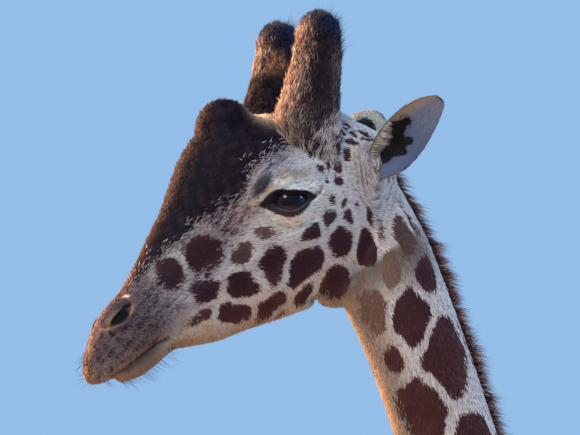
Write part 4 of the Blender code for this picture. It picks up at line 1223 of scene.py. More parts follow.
def finish_hair(piece, tuft_colours, tuft_normals, tuft_uv, per_tuft, tips):
    """Colour from root to tip, the skin's own normals and the bake map, for tufts in a row."""
    shade = np.asarray(tips)[None, :, None]
    give(piece, "hair", "FLOAT_COLOR", np.clip(tuft_colours[:, None] * shade, 0, 1).reshape(-1, 3))
    loops = np.empty(len(piece.data.loops), np.int32)
    piece.data.loops.foreach_get("vertex_index", loops)
    spot = np.linspace(0, 2 * math.pi, per_tuft, endpoint=False)
    ring = PATCH_SIDE / 2 * np.stack([np.cos(spot), np.sin(spot)], axis=1)
    uv = (tuft_uv[:, None] + ring[None]).reshape(-1, 2)
    layer = piece.data.uv_layers.new(name="OFBake")
    layer.data.foreach_set("uv", np.clip(uv[loops], 0, 1).astype(np.float32).ravel())
    if tuft_normals is not None:
        piece.data.normals_split_custom_set_from_vertices(tuft_normals.reshape(-1, 3).tolist())


def coat(name, seed, count, chosen, wanted, size, unwrap):
    """Wedge tufts of four triangles: root A, B, ridge C at a third of the length, tip T.

    A, B = p -+ w/2 e - sink n, C = p + L/3 d + (lift + w/4) n, T = p + L d + lift n, where n is
    the skin's normal, d the lie, turned a little at random, and e = n x d.
    """
    rng = np.random.default_rng(seed)
    roots, normals = scatter(rng, count, chosen, wanted)
    lie = hair_lie(roots, normals)
    across = np.cross(normals, lie)
    length, width, angle, stray = size(roots)
    turn = rng.normal(0, 1, (count, 1)) * np.reshape(stray, (-1, 1))
    cosine, sine = np.cos(turn), np.sin(turn)
    lie, across = cosine * lie + sine * across, cosine * across - sine * lie
    length = (length * np.exp(rng.normal(0, 0.15, count)))[:, None]
    width = (width * np.exp(rng.normal(0, 0.15, count)))[:, None]
    steeper = np.minimum(np.exp(rng.normal(0, 0.35, count)), WILDEST)
    lift = length * np.tan(angle * steeper)[:, None]
    sink = 0.0006 * normals
    tuft = np.stack([
        roots - width / 2 * across - sink, roots + width / 2 * across - sink,
        roots + length / 3 * lie + (lift * 0.55 + width / 4) * normals,
        roots + length * lie + lift * normals], axis=1)
    faces = np.array([[0, 1, 3], [0, 2, 1], [1, 2, 3], [2, 0, 3]])
    faces = (np.arange(count)[:, None, None] * 4 + faces[None]).reshape(-1, 3)
    piece = mesh_object(name, tuft.reshape(-1, 3), [faces], short_hair)
    sideways = 0.35 * across
    shown = np.stack([normals - sideways, normals + sideways, normals, normals + 0.25 * lie], axis=1)
    seen = roots + 0.5 * length * lie
    finish_hair(piece, coloured_hairs(seen, rng), unit(shown), unwrap(roots), 4, TUFT_SHADES)
    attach(piece, "root")


with_modifiers(skin, TRIANGLES)
skin_faces = np.empty(3 * len(skin.data.polygons), np.int32)
skin.data.polygons.foreach_get("vertices", skin_faces)
skin_faces = skin_faces.reshape(-1, 3)
middles = points_of(skin)[skin_faces].mean(axis=1)
s, h, x = head_place(middles)
a, b, out = eye_place(middles)
t, z = along_neck(middles), middles[:, 2]
bald = (between(bare_rim(a), b) > -0.001) & (out > 0)
bald |= (oval(s, h, NOSTRIL) < 1.14) & (x > 0.012)
bald |= (furrow(s, h, MOUTH, 0.0026) > 0.4) & (s > 0.04)
bald &= t > HEAD_FROM
is_head = (t > 2.53) | ((s < 0.58) & (t > HEAD_FROM))
in_neck = (t > 0.45) & (middles[:, 1] < -0.30) & (z > 2.3)
everywhere = np.ones(len(middles))


def face_size(points):
    """Length, width, rise and stray of the face's tufts: longer by the ear, wilder on the boss."""
    s, h, _ = head_place(points)
    boss = ramp(0.10, 0.16, h) * (1 - ramp(0.60, 0.66, s))
    temple = ramp(0.52, 0.56, s) * (1 - boss)
    by_ear = bump_of(s, h, EAR_AT, (0.046, 0.056))
    length = 0.0050 + 0.0026 * ramp(0.10, 0.35, s) - 0.0020 * temple
    length = length + 0.0012 * boss + 0.010 * by_ear
    width = 0.0012 + 0.0003 * ramp(0.10, 0.35, s) + 0.0002 * boss
    return length, width, 0.20 + 0.14 * boss, 0.18 + 0.50 * boss


def body_size(points):
    """The same of the body's tufts, which grow longer and wider down the neck and off the legs."""
    t, z = along_neck(points), points[:, 2]
    far_down = np.where((points[:, 1] < -0.3) & (t > 0.3), 1 - ramp(1.2, 2.2, t), 1.0)
    leg_part = 1 - ramp(0.9, 1.9, z)
    length = 0.0105 + 0.0145 * far_down * (1 - 0.45 * leg_part)
    width = 0.0019 + 0.0046 * far_down * (1 - 0.45 * leg_part)
    return length, width, 0.17 - 0.04 * far_down, np.full(len(points), 0.18)


def unwrap_head(points):
    """The head, unrolled round its own line."""
    return around(points, on_head(-0.1, 0.02), BACK, UP, 1.0)


def unwrap_neck(points):
    """The neck, unrolled round its own line."""
    return around(points, NECK_ROOT, ALONG_NECK, NAPE_SIDE, 3.0)


def unwrap_trunk(points):
    """The trunk, unrolled round a level line at half its height."""
    level, upright = np.array([0, 1.0, 0]), np.array([0, 0, 1.0])
    return around(points, np.array([0, -0.9, 2.4]), level, upright, 2.6)


def unwrap_legs(points):
    """Each leg round its own upright line, the four side by side."""
    which = (points[:, 0] > 0) * 1.0 + (points[:, 1] > 0.5) * 2.0
    middle = np.stack([
        np.where(points[:, 0] > 0, 0.17, -0.17), np.where(points[:, 1] > 0.5, 1.12, -0.07)], axis=1)
    angle = np.arctan2(points[:, 1] - middle[:, 1], points[:, 0] - middle[:, 0])
    return np.stack([(which + angle / (2 * math.pi) + 0.5) / 4, points[:, 2] / 2.0], axis=1)


COATS = (  # name, seed, tufts, the skin's triangles they grow on, their size and their unwrap
    ("coat_face_left", 21, 49000, is_head & (middles[:, 0] > 0) & ~bald, face_size, unwrap_head),
    ("coat_face_right", 22, 34000, is_head & (middles[:, 0] <= 0) & ~bald, face_size, unwrap_head),
    ("coat_neck_upper", 23, 45000, ~is_head & (t > 1.9), body_size, unwrap_neck),
    ("coat_neck", 24, 36000, ~is_head & (t <= 1.9) & in_neck, body_size, unwrap_neck),
    ("coat_trunk", 25, 42000, (z > 1.55) & ~in_neck & (t <= 1.9), body_size, unwrap_trunk),
    ("coat_legs", 26, 34000, (z <= 1.55) & (z > CORONET), body_size, unwrap_legs),
)
for name, seed, count, chosen, size, unwrap in COATS:
    wanted = np.where(s < 0.2, 1.5, 1.0) if "face" in name else everywhere
    coat(name, seed, count, chosen, wanted, size, unwrap)

# ---------------------------------------------------------------- the eyes
# Large dark eyeballs under a clear wet cornea: a brown iris round a long level pupil, almost no
# white. They lie in the hide's own opening, under black bare lids with a fringe of stiff lashes.
PUPIL = (0.0165, 0.0068)  # half length and half height
IRIS_RADIUS = 0.0290


def sphere_round(centre, axis, along, radius, counts):
    """Rings of a sphere round an axis: p = c + r (cos q axis + sin q (cos f a + sin f b))."""
    across = np.cross(axis, along)
    q = np.linspace(0.004, math.pi - 0.004, counts[0])[:, None, None]
    f = (2 * math.pi * np.arange(counts[1]) / counts[1])[None, :, None]
    return centre + radius * (np.cos(q) * axis + np.sin(q) * (np.cos(f) * along + np.sin(f) * across))


# Wet cornea over iris and pupil: as smooth as glass, so the sky shows in it as small bright spots.
eye_material = new_material("wet_eye", Roughness=0.04, IOR=1.33)
iris_colour = node(eye_material, "ShaderNodeAttribute", attribute_name="iris").outputs["Color"]
into_shader(eye_material, "Base Color", iris_colour)
eye_rng = np.random.default_rng(41)
for side_name, side in SIDES.items():
    centre = EYE * [side, 1, 1]
    gaze = unit(0.94 * side * OUT - 0.25 * EYE_LONG + 0.06 * EYE_HIGH)
    level_way = unit(EYE_LONG - (EYE_LONG @ gaze) * gaze)
    rise_way = unit(EYE_HIGH - (EYE_HIGH @ gaze) * gaze - (EYE_HIGH @ level_way) * level_way)
    rings = sphere_round(centre, gaze, level_way, EYE_RADIUS, (90, 96))
    piece, points = closed_piece(f"eyeball_{side_name}", rings, eye_material)
    moved = points - centre
    u, v, w = moved @ level_way, moved @ rise_way, moved @ gaze
    r, turn = np.hypot(u, v), np.arctan2(v, u)
    streaks = 0.5 + 0.5 * np.sin(43 * turn + 2.0 * np.sin(9 * turn)) * np.sin(17 * turn + 1.0)
    iris = all_over("#170f0d", len(points))
    within = (1 - ramp(IRIS_RADIUS - 0.003, IRIS_RADIUS, r)) * (w > 0)
    iris = mixed(iris, "#20120e", within * (0.45 + 0.55 * streaks))
    # The reddish brown in the lower part of the iris is a painted reflection of the ground.
    iris = mixed(iris, "#43261a", within * streaks * 0.5 * ramp(0.004, 0.012, -v))
    pupil = (np.abs(u / PUPIL[0]) ** 3 + np.abs(v / PUPIL[1]) ** 3) ** (1 / 3)
    iris = mixed(iris, "#040406", (1 - ramp(0.88, 1.08, pupil)) * (w > 0))
    give(piece, "iris", "FLOAT_COLOR", iris)
    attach(piece, "root")
    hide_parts(f"eye_{side_name}")

coarse_hair = guard_hair("coarse_guard_hair")


def locks(name, roots, ways, bends, sizes, colours, uv, rings=2, tips=(0.75, 1.0, 1.15)):
    """Bent hairs or locks of three sides, closed at the root and drawn out to a tip.

    Ring k lies at p + L (f d + f^2 bend), f = k / rings, and its radius is w / 2 (1 - f^2).
    """
    count = len(roots)
    length, width = (np.broadcast_to(size, count)[:, None, None] for size in sizes)
    ways = unit(ways)
    first = unit(np.cross(ways, np.array([0.31, 0.23, 0.92])))
    second = 0.6 * np.cross(ways, first)
    f = (np.arange(rings) / rings)[None, :, None]
    middle = roots[:, None] + length * (f * ways[:, None] + f * f * bends[:, None])
    turn = 2 * math.pi * np.arange(3) / 3
    ring = np.cos(turn)[:, None] * first[:, None] + np.sin(turn)[:, None] * second[:, None]
    radius = (width / 2 * (1 - f * f))[..., None]
    points = middle[:, :, None] + radius * ring[:, None]
    tip = roots + length[:, 0] * (ways + bends)
    points = np.concatenate([points.reshape(count, -1, 3), tip[:, None]], axis=1)
    faces, each = [[0, 2, 1]], 3 * rings + 1
    for k in range(rings - 1):
        for i in range(3):
            j = (i + 1) % 3
            low, up = 3 * k, 3 * k + 3
            faces += [[low + i, low + j, up + j], [low + i, up + j, up + i]]
    faces += [[3 * rings - 3 + i, 3 * rings - 3 + (i + 1) % 3, each - 1] for i in range(3)]
    faces = (np.arange(count)[:, None, None] * each + np.array(faces)[None]).reshape(-1, 3)
    piece = mesh_object(name, points.reshape(-1, 3), [faces], coarse_hair)
    shades = np.interp(np.repeat(np.arange(rings) / rings, 3), np.linspace(0, 1, len(tips)), tips)
    finish_hair(piece, colours, None, uv, each, [*shades, tips[-1]])
    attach(piece, "root")
    return piece


def tint(hex_colours, rng, count, spread=0.12):
    """One of the colours for each hair, by chance, a little lighter or darker."""
    chosen = np.array([linear(c)[:3] for c in hex_colours])[rng.integers(0, len(hex_colours), count)]
    return chosen * np.exp(rng.normal(0, spread, (count, 1)))


def mirrored(values, side):
    """Vectors of the left side, turned over to the right where the side is -1."""
    return values * np.array([side, 1.0, 1.0])


def lashes(side_name, side, rng):
    """Upper lashes, densest and longest behind, and a few short ones on the lower lid."""
    count = 210
    upper_lid = np.arange(count) < 165
    a = np.where(upper_lid, rng.uniform(-0.031, 0.025, count), rng.uniform(-0.022, 0.020, count))
    upper, lower = opening(a)
    b = np.where(upper_lid, upper + rng.uniform(0.0002, 0.0022, count), lower - 0.0012)
    out = np.sqrt(np.maximum(LID_RADIUS**2 - a * a - b * b, 1e-5))
    roots = EYE + a[:, None] * EYE_LONG + b[:, None] * EYE_HIGH + out[:, None] * OUT
    rise = np.where(upper_lid, 0.35, -0.55)[:, None]
    ways = 0.85 * OUT + rise * EYE_HIGH + (12 * a + 0.25)[:, None] * EYE_LONG
    ways = unit(ways + rng.normal(0, 0.12, (count, 3)))
    bends = np.where(upper_lid, -0.50, -0.1)[:, None] * EYE_HIGH + 0.10 * EYE_LONG
    length = np.where(upper_lid, 0.014 + 0.10 * np.maximum(a, 0), 0.006) * rng.uniform(0.8, 1.2, count)
    uv = np.stack([0.5 + 8 * a, 0.5 + 8 * b], axis=1)
    locks(f"lashes_{side_name}", mirrored(roots, side), mirrored(ways, side),
          mirrored(bends, side), (length, 0.0009), tint(["#0d0b0c", "#1a1413"], rng, count), uv,
          rings=3)


for side_name, side in SIDES.items():
    lashes(side_name, side, eye_rng)

# ---------------------------------------------------------------- whiskers
# Stiff dark feelers on the lower lip and chin, 12 to 34 mm long, and a few on the upper lip. Each
# is rooted in the skin that lies nearest.
whisker_rng = np.random.default_rng(43)


def on_skin(along, above, side_out):
    """The skin's nearest points to places given along the head, above its line and out."""
    body = points_of(skin)
    wanted = LIP + along[:, None] * BACK + above[:, None] * UP + side_out[:, None] * OUT
    head_part = body[np.linalg.norm(body - LIP, axis=1) < 0.35]
    nearest = [((head_part - w) ** 2).sum(axis=1).argmin() for w in wanted]
    return head_part[nearest]


count = 150
on_chin = np.arange(count) < 115
along = np.where(
    on_chin, whisker_rng.uniform(0.02, 0.16, count), whisker_rng.uniform(-0.01, 0.05, count))
above = np.where(
    on_chin, jaw_bottom(along) + whisker_rng.uniform(-0.01, 0.012, count),
    whisker_rng.uniform(-0.02, 0.045, count))
roots = on_skin(along, above, whisker_rng.uniform(-0.032, 0.032, count))
ways = np.where(on_chin[:, None], -UP + 0.25 * BACK, -BACK + 0.25 * UP)
ways = ways + 8 * roots[:, :1] * OUT + whisker_rng.normal(0, 0.22, (count, 3))
bends = np.where(on_chin[:, None], 0.25 * BACK, -0.10 * UP)
length = whisker_rng.uniform(0.012, 0.034, count)
locks("whiskers", roots, ways, bends, (length, 0.00075),
      tint(["#1c1716", "#2b2320"], whisker_rng, count), unwrap_head(roots), rings=3)

# ---------------------------------------------------------------- the horns
# Two ossicones: bone under skin, hairy all over, with black hair round their blunt tops. They
# grow from the skull, so each is one piece that runs down into the hide.
OSSICONE_ROOT = (0.582, 0.095, 0.064)
OSSICONE_TIP = (0.714, 0.280, 0.076)
HORN_SUNK = 0.05  # how far its foot lies inside the hide
HORN_SHORT = 0.009  # how far the hair of its top lies inside the solid's
HORN_CAP = 0.034  # how far down its rounded top reaches
HORN_PLACES = [0.0, 0.05, 0.085, 0.12, 0.17, 0.21, 0.245]
HORN_AHEAD = [0.048, 0.066, 0.076, 0.066, 0.050, 0.039, 0.034]
HORN_BEHIND = [0.037, 0.037, 0.036, 0.037, 0.040, 0.037, 0.034]
HORN_WIDE = [0.026, 0.033, 0.037, 0.038, 0.037, 0.035, 0.033]


def axes_along(direction, facing):
    """Three unit axes: along a direction, facing as nearly as can be another, and across."""
    along = unit(direction)
    face = unit(np.asarray(facing, float) - np.dot(facing, along) * along)
    return along, face, np.cross(face, along)


def horn_point(side, s, angle):
    """p = root + s along + r(s) (cos angle front or back, sin angle across), closed by a cap."""
    root, tip = on_head(*OSSICONE_ROOT, side), on_head(*OSSICONE_TIP, side)
    along, front, across = axes_along(tip - root, (0, -1, 0))
    length = np.linalg.norm(tip - root) + HORN_SUNK - HORN_SHORT
    s = s * length
    cap = np.sqrt(1 - np.clip((s - length + HORN_CAP) / HORN_CAP, 0, 1) ** 2)
    ahead, behind, wide = (
        through(HORN_PLACES, sizes, s) * cap for sizes in (HORN_AHEAD, HORN_BEHIND, HORN_WIDE))
    rough = 1 + 0.025 * np.sin(3 * angle + 40 * s) + 0.02 * np.sin(5 * angle - 63 * s + 1)
    fore = np.where(np.cos(angle) > 0, ahead, behind) * np.cos(angle) * rough
    return (
        root - HORN_SUNK * along + s[..., None] * along + fore[..., None] * front
        + (wide * rough * np.sin(angle))[..., None] * across
    )


def horn_colours(s, angle, side, rng):
    """Liver brown, tan in front, black on top and greyer behind and at the foot.

    The tan in front is partly the hair's own and partly painted sunlight, and a tan patch on each
    horn's inner front is painted sunlight. The black's blue tint is a painted sheen of the sky. The
    right horn stays dark at its foot, in painted shadow of the boss, and its black and a tan patch
    run further down.
    """
    count = len(s)
    # The tan in front is partly the hair's own and partly painted sunlight; the right horn keeps it
    # only high up, its lower front in painted shadow of the boss.
    front = ramp(0.50, 0.90, np.cos(angle) + rng.normal(0, 0.15, count))
    front = front * (ramp(0.60, 0.70, s) if side < 0 else 0.9 + 0.1 * ramp(0.30, 0.48, s))
    colour = tint(["#1c111b", "#150d17", "#291a26", "#3a2831"], rng, count, 0.20)
    colour = mixed(colour, tint(["#dcb497", "#c2987d", "#efdac4", "#6f4d42"], rng, count), front)
    # A painted patch of sunlight on the inner front of each horn.
    painted_sunlit_patch = np.exp(-(((s - 0.71) / 0.06) ** 2) - ((side * angle - 1.15) / 0.35) ** 2)
    painted_sunlit_patch = np.minimum(1.3 * painted_sunlit_patch, 1)
    colour = mixed(colour, tint(["#f0b184", "#d08d62", "#8d6450"], rng, count), painted_sunlit_patch)
    # The blue tint of the black top is a painted sheen of the sky.
    black = (0.87 if side > 0 else 0.82) - 0.12 * ramp(-0.75, 0.5, -np.cos(angle))
    top = ramp(black, black + 0.10, s + rng.normal(0, 0.035, count))
    colour = mixed(colour, tint(["#131b33", "#1d2845", "#2c3856", "#303248"], rng, count), top)
    behind = ramp(-0.15, 0.5, -np.cos(angle)) * (1 - ramp(0.62, 0.88, s))
    foot = (1 - ramp(0.26, 0.44, s + rng.normal(0, 0.05, count))) * (1 - front)
    # The right horn's foot stays dark: painted shadow of the boss.
    foot = foot * (1.0 if side > 0 else 0.4)
    grey = np.maximum(foot * 0.7, behind * 0.7)
    return mixed(colour, tint(["#8a7c78", "#3b2c33", "#a89c98", "#4d3a3d"], rng, count), grey)


# Skin of a horn between its hairs: dull dark brown, roughened by the hair roots.
horn_skin = new_material("horn_skin", Roughness=0.8, Specular_IOR_Level=0.2)
place = node(horn_skin, "ShaderNodeTexCoord").outputs["Object"]
grain = node(horn_skin, "ShaderNodeTexNoise", [("Vector", place)], in_2=420.0, in_3=3.0).outputs[0]
tone = node(horn_skin, "ShaderNodeValToRGB", [(0, grain)])
tone.color_ramp.elements[0].position, tone.color_ramp.elements[0].color = 0.35, linear("#150e12")
tone.color_ramp.elements[1].position, tone.color_ramp.elements[1].color = 0.70, linear("#31222a")
into_shader(horn_skin, "Base Color", tone.outputs[0])
bump = node(horn_skin, "ShaderNodeBump", [("Height", grain)], in_0=0.7, in_1=0.001)
into_shader(horn_skin, "Normal", bump.outputs[0])


def off_axis(points, middle, axis_way):
    """The part of p - middle that lies across the axis."""
    moved = points - middle
    return moved - (moved @ axis_way)[:, None] * axis_way


for side_name, side in SIDES.items():
    rng = np.random.default_rng(51 if side > 0 else 52)
    s = np.concatenate([np.linspace(0, 0.86, 60), 1 - 0.14 * np.cos(np.linspace(0.1, 1.52, 16))])
    s, angle = np.meshgrid(s, 2 * math.pi * np.arange(64) / 64, indexing="ij")
    horn, _ = closed_piece(f"horn_{side_name}", horn_point(side, s, angle), horn_skin)
    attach(horn, "root")
    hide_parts(f"ossicone_{side_name}")

    count = 22000
    s, angle = rng.uniform(0.0, 1.0, count), rng.uniform(-math.pi, math.pi, count)
    on_top = rng.random(count) < 0.10
    s = np.where(on_top, 1 - 0.14 * rng.random(count) ** 2, s)
    roots = horn_point(side, s, angle)
    step = 0.004
    upward = unit(horn_point(side, np.minimum(s + step, 1), angle) - horn_point(side, s - step, angle))
    round_way = horn_point(side, s, angle + step) - horn_point(side, s, angle - step)
    outward = unit(np.cross(upward, round_way))
    heart = horn_point(side, np.full(count, 0.5), np.zeros(count)).mean(axis=0)
    axis_way = unit(on_head(*OSSICONE_TIP, side) - on_head(*OSSICONE_ROOT, side))
    from_axis = off_axis(roots, heart, axis_way)
    flip = np.sign((outward * (from_axis + 0.03 * axis_way * (s[:, None] > 0.9))).sum(axis=1))
    outward *= np.where(flip == 0, 1, flip)[:, None]
    top = ramp(0.76, 0.90, s)
    shaggy = ramp(0.3, 0.8, np.cos(angle)) * (1 - top)
    lift = 0.13 + 0.12 * shaggy + 0.40 * top * rng.random(count) + 0.30 * rng.random(count) ** 4
    ways = np.cos(lift)[:, None] * upward + np.sin(lift)[:, None] * outward
    ways = ways + rng.normal(0, 0.16, (count, 3)) * (1 + 0.9 * top[:, None])
    ways = ways + 0.26 * wobble(roots, 0.020) + 0.12 * wobble(roots, 0.007)
    bends = -0.10 * outward
    behind = ramp(0.2, 0.8, -np.cos(angle)) * ramp(0.55, 0.75, s)
    foot = 1 - ramp(0.20, 0.42, s)
    length = 0.0100 + 0.0030 * shaggy + 0.0060 * behind * rng.random(count) + 0.003 * foot
    length = length * rng.uniform(0.70, 1.25, count)
    width = 0.0013 + 0.0002 * shaggy
    # below the brow's level its hairs take the colours of the coat round it
    uv = np.stack([s, angle / (2 * math.pi) + 0.5], axis=1)
    in_coat = (roots - LIP) @ UP < 0.114 + rng.normal(0, 0.005, count)
    colours = np.where(in_coat[:, None], coloured_hairs(roots - 0.012 * outward, rng),
                       horn_colours(s, angle, side, rng))
    locks(f"horn_hair_{side_name}", roots, ways, bends, (length, width),
          colours, uv, rings=1)

    # longer black hairs curl away from the back of the top
    count = 420
    s, angle = rng.uniform(0.70, 0.985, count), math.pi + rng.normal(0, 0.75, count)
    roots = horn_point(side, s, angle)
    from_axis = off_axis(roots, heart, axis_way)
    ways = axis_way * rng.uniform(0.5, 1.0, (count, 1)) + 0.45 * unit(from_axis)
    ways = ways + rng.normal(0, 0.22, (count, 3))
    bends = rng.normal(0, 0.28, (count, 3)) - 0.15 * axis_way
    # Blue-black hair: the blue is a painted sheen of the sky.
    locks(f"horn_top_hair_{side_name}", roots, ways, bends,
          (rng.uniform(0.012, 0.026, count), 0.0009),
          tint(["#0f1624", "#141a27", "#2b2425"], rng, count),
          np.stack([s, (angle / (2 * math.pi)) % 1.0], axis=1), rings=3)

    # longer hair round the horn's foot, which hides where bone and skin run into each other
    foot_at = on_head(*OSSICONE_ROOT, side)
    beside = np.linalg.norm(off_axis(middles, foot_at, axis_way), axis=1)
    near_foot = (beside < 0.056) & ((middles - LIP) @ UP > 0.118) & (side * middles[:, 0] > 0.0)
    count = 1500
    roots, normals = scatter(rng, count, near_foot, everywhere)
    ways = 0.75 * axis_way + 0.40 * normals + 0.30 * wobble(roots, 0.022)
    ways = ways + rng.normal(0, 0.18, (count, 3))
    # The tan in front of each foot is partly painted sunlight: strong on the left horn and faint on the
    # right one, whose foot lies in painted shadow of the boss.
    ahead = ramp(0.012, 0.045, (foot_at - roots)[:, 1])
    colours = tint(["#7d7069", "#33262a", "#9c9187", "#41302f", "#281c20"], rng, count)
    ahead = ahead * (0.9 if side > 0 else 0.25)
    colours = mixed(colours, tint(["#e0b890", "#a8805e", "#f2d8b4"], rng, count), ahead)
    locks(f"horn_foot_hair_{side_name}", roots, ways, -0.25 * normals,
          (rng.uniform(0.009, 0.018, count), 0.0018), colours, unwrap_head(roots))

# ---------------------------------------------------------------- the ears
# Leaves of gristle and thin skin, rolled into a cup at the root: cream and grey short hair inside
# with a black band, cream outside with a dark spot. The inside's grey-blue is painted shade of the
# cup and its ochre front painted sunlight. They thin from 5 mm at the root to 1.6 mm.
EAR_ROOT = (0.642, -0.001, 0.082)
EAR_TIPS = {"left": (0.772, 0.043, 0.168), "right": (0.814, 0.026, 0.126)}
EAR_FACES = {"left": (0.85, -0.52, -0.10), "right": (-0.95, 0.15, -0.10)}
EAR_BREADTHS = {"left": 1.0, "right": 1.22}
EAR_LENGTH = 0.162
EAR_BOW = 0.0045  # how far its middle line bows towards the front edge
EAR_SUNK = -0.20  # where its rolled root starts inside the hide, over its length
CLUMPS = 34  # spikes the long hairs of an ear gather into, over its length


def ear_frame(side_name, side):
    """An ear's root, length and axes: along it, out of its face, and towards its front edge."""
    root, tip = on_head(*EAR_ROOT, side), on_head(*EAR_TIPS[side_name], side)
    along, face, across = axes_along(tip - root, EAR_FACES[side_name])
    return root, np.linalg.norm(tip - root), along, face, side * across


def ear_half(t):
    """The ear's half width and the half angle of its arc, from the root to the tip."""
    places = [-0.22, -0.07, 0.07, 0.20, 0.38, 0.56, 0.75, 0.88, 0.95, 0.985, 1]
    sizes = [
        0.012, 0.018, 0.029, 0.0365, 0.0395, 0.0370, 0.0290, 0.0205, 0.0140, 0.0080, 0.0014]
    wrap = through([-0.22, 0.1, 0.4, 1], [1.2, 1.15, 0.7, 0.35], t) * math.pi / 2
    return through(places, sizes, t), wrap


def ear_point(side_name, side, t, q, lift):
    """p = root + L t along + w(t) sin(k q) across + cup(t) (...) face, raised by the lift.

    The section is an arc of a little over half a turn at the root and a sixth at the tip.
    """
    root, length, along, face, across = ear_frame(side_name, side)
    half, wrap = ear_half(t)
    half = half * EAR_BREADTHS[side_name]
    cup = through([-0.22, 0, 0.2, 0.5, 0.8, 1], [0.020, 0.028, 0.026, 0.016, 0.008, 0.001], t)
    out = half * np.sin(wrap * q) / np.sin(np.minimum(wrap, math.pi / 2))
    out = out + EAR_BOW * np.sin(math.pi * np.clip(t, 0, 1) ** 2)
    fall = cup * ((1 - np.cos(q * wrap)) / (1 - np.cos(wrap)) - 1)
    ripple = 0.0011 * np.sin(9 * q + 5 * t) * (1 - np.abs(q)) * ramp(0.05, 0.4, t)
    return (
        root + (length * t)[..., None] * along + out[..., None] * across
        + (fall + ripple + lift)[..., None] * face
    )


BLACK_BAND = [  # half width, and a path along the ear and across it, over its length
    (0.030, [(-0.06, 0.02), (0.16, 0.01)]),
    (0.070, [(0.12, 0.03), (0.24, 0.03), (0.36, 0.06), (0.44, 0.11)]),
    (0.035, [(0.30, -0.03), (0.37, -0.045)]),
    (0.042, [(0.22, -0.02), (0.30, -0.085)]), (0.045, [(0.37, 0.0), (0.43, -0.065)]),
    (0.045, [(0.44, 0.165), (0.50, 0.11), (0.56, 0.075)]),
]


def ear_uv(t, q, is_inner):
    """Along the ear and across it, the inner face beside the outer one."""
    return np.stack([0.05 + 0.42 * t + 0.5 * is_inner, 0.5 + 0.45 * q], axis=1)


def ear_colours(t, q, inner, rng=None):
    """Grey inside with an ochre front and a black band; outside cream with one dark spot.

    The inside's grey-blue is painted shade of the cup, and its ochre front is painted sunlight.
    """
    count = len(t)
    jitter = rng.normal(0, 1, (3, count)) if rng is not None else np.zeros((3, count))
    half, wrap = ear_half(t)
    v = half * np.sin(wrap * q) / np.sin(np.minimum(wrap, math.pi / 2)) / EAR_LENGTH + 0.006 * jitter[0]
    u = t + 0.008 * jitter[1]
    # The inside's grey-blue is painted shade of the cup, and the ochre towards its front edge is
    # painted sunlight.
    grey = all_over("#59647c", count)
    grey = mixed(grey, "#7c7d86", ramp(0.45, 0.95, t) * 0.6)
    grey = mixed(grey, "#8f7c60", ramp(0.30, 0.80, q) * ramp(0.35, 0.55, t) * 0.9)
    grey = mixed(grey, "#b3a585", (1 - ramp(0.10, 0.42, t)) * ramp(0.1, 0.5, q) * 0.9)
    band = np.max([furrow(u, v, path, size) for size, path in BLACK_BAND], axis=0)
    grey = mixed(grey, "#0d0b0c", ramp(0.28, 0.50, band))
    grey = mixed(grey, "#3b2b22", ramp(0.955, 0.985, np.abs(q)) + ramp(0.975, 0.99, t))
    cream = all_over("#d6c8b0", count)
    spot = np.hypot((u - 0.66) / 0.17, (v - 0.02) / 0.115)
    cream = mixed(cream, "#1c1516", 1 - ramp(0.85, 1.05, spot + 0.05 * jitter[2]))
    cream = mixed(cream, "#2a1f1b", ramp(0.94, 0.99, t) * 0.8)
    cream = mixed(cream, "#3b2b22", ramp(0.94, 0.98, np.abs(q)))
    colour = np.where(inner[:, None], grey, cream)
    return colour if rng is None else colour * np.exp(0.30 * jitter[2])[:, None]


# Ear skin: thin, short-haired and a little translucent, dull, with a grain of fine hair.
ear_skin = new_material(
    "ear_leaf_skin", Roughness=0.7, Specular_IOR_Level=0.25, Subsurface_Weight=0.12,
    Subsurface_Radius=(0.006, 0.003, 0.002))
leaf_colour = node(ear_skin, "ShaderNodeAttribute", attribute_name="leaf").outputs["Color"]
place = node(ear_skin, "ShaderNodeTexCoord").outputs["Object"]
grain = node(ear_skin, "ShaderNodeTexNoise", [("Vector", place)], in_2=700.0, in_3=2.0).outputs[0]
shade = node(ear_skin, "ShaderNodeMapRange", [(0, grain)], in_1=0.3, in_2=0.7, in_3=0.8, in_4=1.1)
toned = node(ear_skin, "ShaderNodeVectorMath", [(0, leaf_colour), (1, shade.outputs[0])],
             operation="MULTIPLY")
into_shader(ear_skin, "Base Color", toned.outputs[0])
bump = node(ear_skin, "ShaderNodeBump", [("Height", grain)], in_0=0.5, in_1=0.0006)
into_shader(ear_skin, "Normal", bump.outputs[0])

